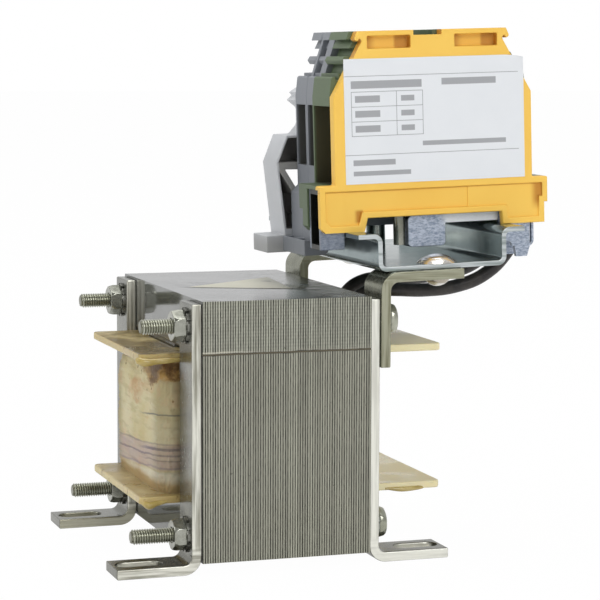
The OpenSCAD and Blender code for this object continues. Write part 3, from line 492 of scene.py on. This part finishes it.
dress(bobbin, nylon)
resin, base, shader = finish("dried_varnish", {"IOR": 1.5, "Coat Weight": 0.35, "Coat Roughness": 0.05})
cloud = noise(base, place_in(base), 260, 4)
bead_radius = 0.75
feed(shader, Base_Color=cloud.step(0.3, 0.7).blend((0.38, 0.28, 0.075), (0.58, 0.46, 0.18)),
     Roughness=cloud * 0.2 + 0.15)
for name, points in (
    ("varnish_bead", [(-26.5, -17.6, 40.5, 0.4), (-26.6, -19.0, 40.3, 1.0), (-25.6, -19.5, 40.0, 1.1),
                      (-23.4, -19.6, 40.1, 0.8), (-20.6, -19.6, 40.2, 0.7), (-18.0, -19.5, 40.3, 0.4)]),
    ("varnish_drip", [(-26.2, -17.8, 12.6, 0.3), (-25.6, -19.3, 12.4, 0.8), (-24.8, -19.6, 12.0, 1.0),
                      (-23.6, -19.5, 12.3, 0.8), (-21.2, -19.4, 12.6, 0.4)]),
    ("varnish_tail", [(-24.9, -19.4, 12.4, 0.9), (-24.9, -19.5, 11.7, 0.75), (-24.9, -19.5, 11.2, 0.2)]),
    ("varnish_right", [(24.0, -19.4, 12.6, 0.3), (27.5, -19.5, 12.3, 0.7), (31.0, -19.4, 12.4, 0.6),
                       (34.0, -18.4, 12.6, 0.3)]),
):
    bead = tube(name, points, bead_radius)
    dress(bead, resin)

# Winding and wrap: enamelled copper wire, wound on the bobbin under turns of cream tape and soaked in varnish.
# Brown varnish has collected under the top flange, and the edges of the tape's layers show lower down.
coil_base, coil_top, coil_spread = 13.7, 40.1, 40.0
layer_width = 0.16
seam_gap = 0.01 * MM
tape_edges = (  # height, slant and depth
    (27.7, 0.0, 0.16), (21.8, -1.0, 0.22), (20.5, -0.8, 0.18), (19.3, -0.6, 0.2), (17.4, -0.2, 0.24),
)


def coil_skin(name, half_x, half_y, radius, around, rise, ripple):
    """A closed band round the coil, a little barrelled, with a ripple given for each point."""
    bpy.ops.object.select_all(action="DESELECT")
    bpy.ops.mesh.primitive_grid_add(x_subdivisions=around, y_subdivisions=rise, size=1)
    band = bpy.context.object
    band.name = name
    for vertex in band.data.vertices:
        turn = (vertex.co.x + 0.5) * math.tau
        height = coil_base + (vertex.co.y + 0.5) * (coil_top - coil_base)
        aim = Vector((math.cos(turn), math.sin(turn)))
        swell = radius + ripple(turn, height)
        point = Vector((
            max(radius - half_x, min(half_x - radius, coil_spread * aim.x)),
            max(radius - half_y, min(half_y - radius, coil_spread * aim.y)),
        )) + aim * swell
        vertex.co = Vector((point.x, point.y, height)) * MM
    only(band)
    bpy.ops.object.mode_set(mode="EDIT")
    bpy.ops.mesh.select_all(action="SELECT")
    bpy.ops.mesh.remove_doubles(threshold=seam_gap)
    bpy.ops.mesh.normals_make_consistent(inside=False)
    bpy.ops.object.mode_set(mode="OBJECT")
    bpy.ops.object.shade_smooth()
    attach(band, "root")
    return band


def ease(value, low, high):
    """Rises smoothly from 0 at low to 1 at high."""
    share = max(0.0, min(1.0, (value - low) / (high - low)))
    return share * share * (3 - 2 * share)


def tape_ripple(turn, height):
    """Creases, the waist under the flanges, and the edges of the layers."""
    point = Vector((math.cos(turn) * 6, math.sin(turn) * 6, height * 0.55))
    crease = fractal(point * 0.55, 1.0, 2.0, 4) * 0.22 + fractal(point * 2.2, 1.0, 2.0, 3) * 0.13
    waist = -1.25 * ease(height, 33, 40) - 0.35 * ease(height, 16, 13.7)
    layers = sum(-depth * math.exp(-((height - level - slant * math.sin(turn)) / layer_width) ** 2)
                 for level, slant, depth in tape_edges)
    return min(0.0, crease - 0.12) + waist + layers


def wire_ripple(turn, height):
    """The round backs of the outer turns of wire."""
    return 0.2 * abs(math.sin(height * 3.5))


enamel, base, shader = finish("enamelled_wire", {"Metallic": 0.6, "Roughness": 0.35})
feed(shader, Base_Color=noise(base, place_in(base), 300, 3).blend((0.28, 0.11, 0.04), (0.42, 0.17, 0.06)))
turns = coil_skin("wire_turns", 20.4, 17.0, 4.0, 96, 96, wire_ripple)
dress(turns, enamel)
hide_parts("winding")
tape, base, shader = finish("coil_tape", {
    "Specular IOR Level": 0.1, "Coat Roughness": 0.1, "Subsurface Weight": 0.1, "Subsurface Scale": 0.002,
})
place, x, y, z = axes(base)
cloud = noise(base, place, 150, 5, 0.6)
broad = noise(base, place, 55, 3)
fine = noise(base, place, 1500, 3)
drawn = stretched(base, place, (160, 160, 900), 3)
cream = broad.step(0.3, 0.7).blend((0.66, 0.60, 0.40), (0.52, 0.44, 0.205))
cream = (cloud.step(0.52, 0.66) * 0.5).blend(cream, (0.66, 0.42, 0.26))
cream = (drawn.step(0.48, 0.66) * 0.4).blend(cream, (0.40, 0.34, 0.18))
slope = z + y * 0.075
lower = slope.step(22.2, 21.4) * slope.step(16.6, 17.4)
cream = (lower * (0.35 + drawn * 0.7)).blend(cream, (0.47, 0.37, 0.35))
for level, width, colour, weight, near in (
    (27.7, 0.14, (0.16, 0.16, 0.15), 0.85, True), (21.9, 0.15, (0.20, 0.17, 0.20), 0.7, False),
    (20.9, 0.22, (0.14, 0.12, 0.16), 0.8, True), (19.7, 0.16, (0.13, 0.11, 0.16), 0.85, False),
    (18.7, 0.12, (0.20, 0.16, 0.18), 0.6, True), (17.3, 0.17, (0.26, 0.21, 0.25), 0.75, False),
):
    line = abs(slope + (broad - 0.5) * 1.4 + (cloud - 0.5) * 0.7 - level).step(width * 1.8, width * 0.6)
    line = line * (y.step(0, -12) if near else (drawn * 0.6 + 0.4))
    cream = (line * weight).blend(cream, colour)
cream = (slope.step(16.9, 16.3) * 0.6).blend(cream, (0.74, 0.70, 0.60))
foot = (z - 14.6 - cloud * 2).step(1.2, -0.6)
cream = (foot * 0.75).blend(cream, (0.44, 0.28, 0.085))
ragged = stretched(base, place, (260, 110, 300), 6, 0.62)


def stain(middle_y, middle_z, wide, high):
    """A blot on the coil with a ragged outline."""
    off_y, off_z = (y - middle_y) / wide, (z - middle_z) / high
    return (off_y * off_y + off_z * off_z + (ragged - 0.5) * 3.4).step(1.3, 0.6)


# Painted shade: the tape darkens towards the coil's front and back, where the clamp strips shade its corners.
cream = (abs(y).step(9.5, 17.0) * 0.5).blend(cream, (0.17, 0.135, 0.07))
peach = stain(-2.0, 32.2, 5.2, 2.8) + stain(-9.0, 34.0, 4.0, 2.0) * 0.4
peach = (peach + (cloud + broad * 0.5).step(0.88, 1.0) * 0.5).clamped()
cream = (peach * (0.35 + ragged.step(0.56, 0.44) * 0.5)).blend(cream, (0.50, 0.31, 0.16))
spot = stain(-11.0, 37.4, 9.0, 2.6) + stain(12.0, 38.9, 6.0, 1.6) * 0.7
spot = (spot + (z + cloud * 8).step(43.0, 45.0) * 0.7).clamped()
cream = (spot * 0.9).blend(cream, ragged.step(0.40, 0.60).blend((0.10, 0.045, 0.012), (0.40, 0.24, 0.075)))
specks = noise(base, place, 520, 2).step(0.66, 0.72) * z.step(29, 32)
cream = (specks * 0.8).blend(cream, (0.16, 0.09, 0.03))
feed(shader, Base_Color=cream, Roughness=0.48 - spot * 0.1 + fine * 0.08, Coat_Weight=foot * 0.12,
     Normal=bump(base, cloud * 0.6 + drawn * 0.5 + ragged * 0.3 + fine * 0.1, 0.7 * MM, 0.6))
wrap = coil_skin("tape_wrap", 22.5, 18.7, 5.0, 200, 110, tape_ripple)
dress(wrap, tape)
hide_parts("coil_wrap")

# Clamp feet: four strips of zinc-plated steel, punched, and bent outwards at the bottom.
# The bolts squeeze the core between them, and the slots take the mounting screws.


def plated(name, dull, bright, patch, rough, cut_edge=None, grain=900.0, right_edge_highlight=None):
    """Zinc plate: cloudy patches and fine grain, with paler sheared edges and, when its colour is given, a painted
    highlight on those at the right.
    """
    material, base, shader = finish(name, {"Metallic": 0.85})
    place, x, y, z = axes(base)
    cloud = noise(base, place, 120, 5, 0.6)
    fine = noise(base, place, grain, 3, 0.6)
    tint = (cloud * 0.7 + fine * 0.3).step(0.32, 0.68).blend(dull, bright)
    tint = (cloud.step(0.58, 0.72) * 0.6).blend(tint, patch)
    shine = fine * 0.2 + rough
    if cut_edge:
        sheared = abs(facing(base)[1]).step(0.45, 0.85)
        standing = z.step(4, 6) * z.step(56, 54)
        torn = (stretched(base, place, (1500, 1500, 70), 3) * standing
                + stretched(base, place, (70, 1500, 1500), 3) * (1 - standing))
        tint = sheared.blend(tint, torn.step(0.30, 0.62).blend(patch, cut_edge))
        if right_edge_highlight:
            sole = z.step(4, 3)
            # Painted highlight on the sheared edges at the right.
            tint = (sheared * x.step(14, 16) * 0.6).blend(tint, right_edge_highlight)
            tint = (sole * (1 - sheared) * 0.6).blend(tint, (0.10, 0.10, 0.075))
            tint = (sole * sheared * (y > 0) * x.step(0, -1) * 0.75).blend(tint, (0.34, 0.33, 0.245))
        shine = shine + sheared * (torn * 0.2 + 0.05)
    feed(shader, Base_Color=tint, Roughness=shine,
         Normal=bump(base, cloud * 0.6 + fine * 0.4, 0.08 * MM, 0.5))
    return material


foot_zinc = plated("foot_zinc", (0.15, 0.152, 0.13), (0.25, 0.25, 0.22), (0.30, 0.29, 0.235), 0.14,
                   (0.80, 0.795, 0.71), right_edge_highlight=(0.95, 0.95, 0.87))
for corner in ("front_left", "front_right", "rear_left", "rear_right"):
    strip = softened("foot_" + corner, "clamp_foot_" + corner, 0.3, 3)
    dress(strip, foot_zinc)

# Through bolts: M3 screws of zinc-plated steel, with hexagon heads on the rail side, through both pairs of feet.
# Only the rolled thread from the nuts to the tip is cut in full, because the rest is inside the core.
bolt_y, bolt_low, bolt_high = 25, 7.2, 47.5
bolt_cut = -20.6
bolt_tips = {"low": (bolt_low, -30.0), "high": (bolt_high, -28.0)}
thread_pitch, thread_outer, thread_inner, thread_end = 0.5, 1.48, 1.19, 1.1
tooth = [(thread_inner, 0.0), (thread_outer, 0.20), (thread_outer, 0.26), (thread_inner, 0.46), (thread_inner, 0.5)]


def choose(piece, kind, mode, wanted):
    """Leaves a piece in edit mode with only its wanted edges or faces selected."""
    bpy.ops.object.mode_set(mode="EDIT")
    bpy.ops.mesh.select_all(action="DESELECT")
    bpy.ops.object.mode_set(mode="OBJECT")
    for part in getattr(piece.data, kind):
        part.select = wanted(part)
    bpy.ops.object.mode_set(mode="EDIT")
    bpy.ops.mesh.select_mode(type=mode)


def shifted(piece, offset):
    """Moves a piece in Y, in millimetres, and leaves it the only one selected."""
    only(piece)
    piece.location = (0, offset * MM, 0)
    bpy.ops.object.transform_apply()
    return piece


bolt_zinc, base, shader = finish("bolt_zinc", {"Metallic": 0.85})
place, x, y, z = axes(base)
cloud = noise(base, place, 200, 4)
off_y, off_z = abs(y) - bolt_y, z - bolt_low - (z > 27) * (bolt_high - bolt_low)
reach = base.math("SQRT", off_y * off_y + off_z * off_z)
# Painted shade in the thread's roots: only the crests, and the bolts beyond the cut thread, keep the zinc's tone.
crest = ((reach - cloud * 0.08).step(1.16, 1.42) + (x > -20.5)).clamped()
worn = cloud.step(0.3, 0.7).blend((0.32, 0.325, 0.255), (0.55, 0.56, 0.47))
feed(shader, Base_Color=crest.blend((0.21, 0.21, 0.16), worn), Roughness=cloud * 0.3 + 0.14)
bolts = copy_of("through_bolts", "bolts")
bpy.ops.mesh.select_all(action="SELECT")
bpy.ops.mesh.bisect(plane_co=(bolt_cut * MM, 0, 0), plane_no=(1, 0, 0), use_fill=True, clear_inner=True)
bpy.ops.object.mode_set(mode="OBJECT")
threads = []
for level_name, (bolt_z, tip) in bolt_tips.items():
    length = bolt_cut - tip
    turns = int(length / thread_pitch)
    bpy.ops.object.select_all(action="DESELECT")
    bpy.ops.mesh.primitive_circle_add(vertices=len(tooth), radius=thread_outer * MM)
    thread = bpy.context.object
    for vertex, (reach, height) in zip(thread.data.vertices, tooth):
        vertex.co = (reach * MM, 0, height * MM)
    choose(thread, "edges", "EDGE", lambda side: {0, len(tooth) - 1} == set(side.vertices))
    bpy.ops.mesh.delete(type="EDGE")
    bpy.ops.mesh.select_mode(type="VERT")
    bpy.ops.object.mode_set(mode="OBJECT")
    coil = thread.modifiers.new("coil", "SCREW")
    coil.axis = "Z"
    coil.angle = math.tau
    coil.screw_offset = thread_pitch * MM
    coil.iterations = turns
    coil.steps = coil.render_steps = 20
    coil.use_merge_vertices = True
    coil.merge_threshold = 0.005 * MM
    bpy.ops.object.modifier_apply(modifier="coil")
    for vertex in thread.data.vertices:
        if vertex.co.z < 0.35 * MM or vertex.co.z > (turns - 0.6) * thread_pitch * MM:
            vertex.co.xy = vertex.co.xy.normalized() * thread_end * MM
    bpy.ops.object.select_all(action="DESELECT")
    bpy.ops.mesh.primitive_cylinder_add(vertices=32, radius=thread_inner * 1.01 * MM, depth=length * MM,
                                        location=(0, 0, length / 2 * MM))
    shank = bpy.context.object
    bpy.ops.object.transform_apply()
    choose(shank, "polygons", "FACE", lambda face: face.normal.z < -0.9)
    bpy.ops.mesh.bevel(offset=0.25 * MM, segments=2, affect="EDGES")
    bpy.ops.mesh.select_mode(type="VERT")
    bpy.ops.object.mode_set(mode="OBJECT")
    thread.select_set(True)
    bpy.context.view_layer.objects.active = thread
    bpy.ops.object.join()
    thread.name = "thread_" + level_name
    bpy.ops.object.mode_set(mode="EDIT")
    bpy.ops.mesh.select_all(action="SELECT")
    bpy.ops.mesh.normals_make_consistent(inside=False)
    bpy.ops.object.mode_set(mode="OBJECT")
    thread.rotation_euler = (0, math.radians(90), 0)
    thread.location = (tip * MM, 0, bolt_z * MM)
    bpy.ops.object.transform_apply()
    bpy.ops.object.duplicate()
    twin = bpy.context.object
    threads += [shifted(thread, -bolt_y), shifted(twin, bolt_y)]
only(bolts)
for thread in threads:
    thread.select_set(True)
bpy.ops.object.join()
thread_angle = math.radians(28)
bpy.ops.object.shade_smooth_by_angle(angle=thread_angle)
dress(bolts, bolt_zinc)
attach(bolts, "root")
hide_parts("through_bolts")

# Washers and nuts: a plain washer under each head, and a toothed one of dark spring steel under each nut.
# The hexagon nuts are zinc-plated, and screwed down until the feet squeeze the core.
bright_zinc = plated("bright_zinc", (0.26, 0.27, 0.24), (0.52, 0.54, 0.51), (0.34, 0.35, 0.31), 0.10)
nut_zinc = plated("nut_zinc", (0.19, 0.195, 0.155), (0.42, 0.425, 0.375), (0.27, 0.27, 0.22), 0.10)
dark_steel = plated("dark_spring_steel", (0.17, 0.17, 0.15), (0.30, 0.30, 0.27), (0.22, 0.21, 0.17), 0.25)
nut_set = softened("nut_set", "nuts", 0.12)
dress(nut_set, nut_zinc)
dress(nodes["plain_washers"], bright_zinc)
dress(nodes["toothed_washers"], dark_steel)

# Rail brackets: two bent strips of steel in olive chromate, held by the top bolts on the rail side.
# A rivet through each holds the rail down on its arm.
olive = plated("olive_chromate", (0.14, 0.145, 0.10), (0.26, 0.265, 0.20), (0.20, 0.195, 0.125), 0.16,
               (0.40, 0.40, 0.30))
for end in ("front", "rear"):
    strip = softened("bracket_" + end, "rail_bracket_" + end, 0.2)
    dress(strip, olive)

# Rail and rivets: a short length of 35 mm top-hat rail in passivated zinc, rolled from sheet.
# Two round-headed rivets fix it to the brackets.
rail_zinc = plated("passivated_zinc", (0.25, 0.315, 0.32), (0.34, 0.41, 0.415), (0.29, 0.34, 0.33), 0.10,
                   (0.62, 0.66, 0.67), 300.0)
profile = softened("top_hat_rail", "rail", 0.15)
dress(profile, rail_zinc)
rivet_x, rivet_y, rivet_ring = 32.3, 25, 2.5
rivet_metal, base, shader = finish("rivet_metal", {"Metallic": 0.85})
place, x, y, z = axes(base)
cloud = noise(base, place, 260, 4)
off_x, off_y = x - rivet_x, abs(y) - rivet_y
reach = base.math("SQRT", off_x * off_x + off_y * off_y)
ring = abs(reach - rivet_ring + cloud * 0.4).step(0.55, 0.2)
tint = cloud.blend((0.62, 0.59, 0.54), (0.86, 0.84, 0.80))
feed(shader, Base_Color=(ring * 0.75).blend(tint, (0.34, 0.29, 0.21)), Roughness=cloud * 0.25 + 0.1,
     Normal=bump(base, ring * 0.6 + cloud, 0.2 * MM, 0.5))
dress(nodes["rail_rivets"], rivet_metal)

# Housings: the earth terminal's yellow cover and green body, two grey feed-through terminals and a pale end stop.
# All are moulded in nylon and clip or clamp on the rail, and the pockets at both sides take the wires.
rail_along, rail_over = 9.95, 3.6
screw_along = 1.3
pocket_top = 32.15


def on_rail(x, z):
    """Turns a point's X and Z into its distance from the rail's middle and its height over the rail."""
    along = (x - arm_bend.x) * math.cos(arm_slope) + (z - arm_bend.y) * math.sin(arm_slope)
    over = (z - arm_bend.y) * math.cos(arm_slope) - (x - arm_bend.x) * math.sin(arm_slope)
    return along - rail_along, over - rail_over


def moulded(name, colour, deep, rough=0.42, hollow=None, dark=(0.085, 0.085, 0.075)):
    """Moulded nylon: almost even colour, a faint cloud and a fine skin; its hollows are darkened with painted shade.
    """
    material, base, shader = finish(name, {"IOR": 1.46})
    place, x, y, z = axes(base)
    cloud = noise(base, place, 55, 3)
    fine = noise(base, place, 2600, 2, 0.6)
    tint = cloud.step(0.25, 0.75).blend(deep, colour)
    if hollow:
        along, over = on_rail(x, z)
        # Painted shade in the hollows, in the given dark colour.
        tint = (hollow(along, over, y) * 0.9).blend(tint, dark)
    feed(shader, Base_Color=tint, Roughness=fine * 0.12 + rough,
         Normal=bump(base, fine, 0.03 * MM, 0.5))
    return material


def wire_pocket(half, floor, middle, width):
    """A mask of painted shade in one terminal's wire pockets, darker with depth."""
    def mask(along, over, y):
        depth = half - abs(along - screw_along)
        within_walls = abs(y - middle) < width / 2 + 0.03
        return depth.step(0.05, 0.7) * (over > floor - 0.05) * (over < pocket_top) * within_walls
    return mask


def stop_hollow(along, over, y):
    """Shade in the end stop's hollow leg, and under its foot."""
    lower = along + 23.1 - (20.2 - over) * 0.094
    upper = along + 23.1 - (over - 20.2) * 0.43
    inside = lower.math("MINIMUM", lower, upper).step(0.35, 0.7)
    leg = inside * (over > 6.5) * (over < 25.3) * (along < -14.5) * (y < 12.3)
    return leg + over.step(6.5, 3.0) * 0.6


def cover_shade(along, over, y):
    """Shade in the hollows of the cover: the ends of its windows and of its panel, and beside the notch."""
    beside_screw = along - screw_along
    across = beside_screw - (beside_screw > 0) * 18.4 + 13.7
    ends = across.step(2.6, 0.2) * 0.8 + across.step(5.9, 6.6) * 0.85
    right_end = along.step(21.6, 23.4) * over.step(9.6, 12.4)
    upper = over.step(15.15, 15.42) * 0.6
    corner = along.step(-15.9, -14.9) * over.step(8.9, 9.6) * over.step(12.0, 11.3) * (along < -13.9)
    windows = (y > -21.8) * (over > 41.5) * ends
    panel = (y > -21.9) * (over < 15.5) * (right_end + upper + corner)
    return (windows + panel).clamped()


yellow = moulded("yellow_nylon", (0.93, 0.59, 0.105), (0.90, 0.545, 0.085),
                 hollow=cover_shade, dark=(0.52, 0.21, 0.015))
green = moulded("green_nylon", (0.115, 0.16, 0.085), (0.095, 0.13, 0.07),
                hollow=wire_pocket(20.95, 16.75, -14.6, 9.6), dark=(0.065, 0.062, 0.038))
grey_front, grey_rear = (
    moulded("grey_nylon_" + end, (0.245, 0.26, 0.285), (0.22, 0.235, 0.26),
            hollow=wire_pocket(19.9, 19.9, lead_routes["lead_" + end][0], 5.5))
    for end in ("front", "rear"))
pale_grey = moulded("pale_grey_nylon", (0.60, 0.615, 0.635), (0.55, 0.565, 0.585),
                    hollow=stop_hollow, dark=(0.27, 0.265, 0.25))


def thin_part(point):
    """The shallow steps of the cover's base panel, and its thin walls round the screw well and the foot."""
    along, over = on_rail(point.x, point.z)
    shallow = -21.6 < point.y < -21.2 or point.y > -20.9 and over < 16.1
    return shallow or over > 44.4 and abs(along - 0.2) < 3.6 or over < 8.6 and along < -21


for name, node, material, slot_name, width, skip in (
    ("earth_front", "earth_cover", yellow, "yellow_plastic", 0.3, thin_part),
    ("earth_rear", "earth_body", green, "green_plastic", 0.12, None),
    ("feed_front", "feed_housing_front", grey_front, "grey_plastic", 0.12, None),
    ("feed_rear", "feed_housing_rear", grey_rear, "grey_plastic", 0.12, None),
    ("stop_bracket", "end_stop", pale_grey, "light_plastic", 0.2, None),
):
    piece = softened(name, node, width, skip=skip)
    dress(piece, material)

# Clamps: copper bars inside the terminals, each with zinc-plated cages and screws that draw a wire up to it.
# The earth terminal's bent steel foot, yoke, screw and pin grip the rail's edges.
copper, base, shader = finish("tinned_copper", {"Metallic": 0.9})
cloud = noise(base, place_in(base), 300, 4)
feed(shader, Base_Color=cloud.blend((0.45, 0.24, 0.13), (0.62, 0.36, 0.22)), Roughness=cloud * 0.3 + 0.2)
for name in ("earth_bar", "feed_bar_front", "feed_bar_rear"):
    dress(nodes[name], copper)
for name in (
    "earth_cages", "earth_clamp_screws", "feed_cages", "feed_clamp_screws", "end_stop_screw", "end_stop_nut",
):
    dress(nodes[name], bright_zinc)
speckle, base, shader = finish("speckled_zinc")
place, x, y, z = axes(base)
grit = stretched(base, place, (1100, 1600, 2600), 3, 0.7)
cloud = noise(base, place, 200, 4)
tint = grit.step(0.32, 0.66).blend((0.23, 0.28, 0.37), (0.53, 0.585, 0.68))
tint = (cloud.step(0.56, 0.7) * 0.5).blend(tint, (0.50, 0.52, 0.53))
along, over = on_rail(x, z)
# Painted shade: darker from along -15 to the left, inside the saddle's left frame.
tint = (along.step(-15, -16) * 0.6).blend(tint, (0.12, 0.135, 0.165))
# Painted light: a pale, less metallic band high on the yoke between along 3 and 17, lightening the shade under the
# cover.
painted_light_strip = over.step(7.4, 8.0) * along.step(3.0, 5.0) * along.step(17.0, 16.0)
tint = (painted_light_strip * 0.8).blend(tint, (0.88, 0.91, 0.93))
# Painted shade: near black in the channel at the saddle's left end.
painted_shade_channel = (y > -19.85) * (y < -15.0) * along.step(-19.5, -20.5)
feed(shader, Base_Color=(painted_shade_channel * 0.95).blend(tint, (0.03, 0.03, 0.022)),
     Metallic=0.8 - painted_light_strip * 0.7, Roughness=grit * 0.3 + 0.2, Normal=bump(base, grit, 0.06 * MM, 0.5))
for name, node, width in (("saddle", "earth_foot", 0.1), ("clamp_yoke", "earth_yoke", 0.15)):
    piece = softened(name, node, width)
    dress(piece, speckle)
dress(nodes["earth_foot_screw"], olive)
dress(nodes["earth_pin"], nut_zinc)

# Rating label: a printed paper sticker, glued across the front of the earth terminal and lifting at one corner.
# It carries plain rules, an empty table and bars.
label_wide, label_high, label_thick = 38, 24.4, 0.12
rule_wide = 0.12
lift_start, lift_rise, lift_curl = 26.4, 0.045, 0.02
label_paper, base, shader = finish("label_print", {"Roughness": 0.38})
split = base.node("SeparateXYZ", {}, {0: base.node("TexCoord", out="UV")}).socket.node
across = Tone(base.tree, split.outputs[0]) * label_wide
up = Tone(base.tree, split.outputs[1]) * label_high


def printed(left, right, low, high):
    """A printed rectangle, in millimetres from the label's lower left corner."""
    return (across > left) * (across < right) * (up > low) * (up < high)


rules = printed(0.0, 36.8, 20.95, 20.95 + rule_wide) + printed(0.0, 36.8, 5.62, 5.62 + rule_wide)
for height in (9.3, 12.1, 15.0, 17.9):
    rules = rules + printed(1.4, 16.4, height, height + rule_wide)
for edge in (1.4, 10.8, 16.3):
    rules = rules + printed(edge, edge + rule_wide, 9.3, 17.9 + rule_wide)
rules = rules.clamped()
bars = printed(1.4, 16.2, 18.6, 20.1) + printed(20.4, 32.0, 18.9, 20.2)
for height in (10.1, 13.0, 15.9):
    bars = bars + printed(2.2, 7.4, height, height + 1.3) + printed(11.8, 14.6, height + 0.1, height + 1.2)
bars = bars + printed(16.2, 34.0, 7.1, 8.0) + printed(1.6, 10.4, 3.6, 4.7) + printed(1.6, 13.6, 1.6, 2.5)
bars = bars.clamped()
cloud = noise(base, place_in(base), 160, 3)
paper = cloud.blend((0.735, 0.76, 0.79), (0.79, 0.81, 0.835))
paper = (rules * 0.75).blend(paper, (0.16, 0.16, 0.17))
paper = (bars * 0.62).blend(paper, (0.12, 0.12, 0.13))
feed(shader, Base_Color=paper, Normal=bump(base, cloud, 0.1 * MM, 0.4))
bpy.ops.object.select_all(action="DESELECT")
bpy.ops.mesh.primitive_grid_add(x_subdivisions=76, y_subdivisions=50, size=1)
sticker = bpy.context.object
sticker.name = "sticker"
sticker.scale = (label_wide * MM, label_high * MM, 1)
bpy.ops.object.transform_apply()
for vertex in sticker.data.vertices:
    lift = max(0.0, vertex.co.x / MM + vertex.co.y / MM - lift_start)
    wave = fractal(Vector((vertex.co.x * 150, vertex.co.y * 190, 3.0)), 1.0, 2.0, 2) * 0.035
    vertex.co.z = (max(0.0, wave) + lift_rise * lift * lift) * MM
    vertex.co.x -= lift_curl * lift * lift * MM
    vertex.co.y -= lift_curl * lift * lift * MM
paper_edge = sticker.modifiers.new("paper", "SOLIDIFY")
paper_edge.thickness = label_thick * MM
paper_edge.offset = 1.0
only(sticker)
bpy.ops.object.modifier_apply(modifier="paper")
paper_angle = math.radians(40)
bpy.ops.object.shade_smooth_by_angle(angle=paper_angle)
corner_low, corner_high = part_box("rating_label")
middle = (corner_low + corner_high) / 2
glue = 0.005
sticker.rotation_euler = (math.radians(90), -arm_slope, 0)
sticker.location = (middle.x, corner_high.y - glue * MM, middle.z)
bpy.ops.object.transform_apply()
dress(sticker, label_paper)
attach(sticker, "root")
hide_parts("rating_label")
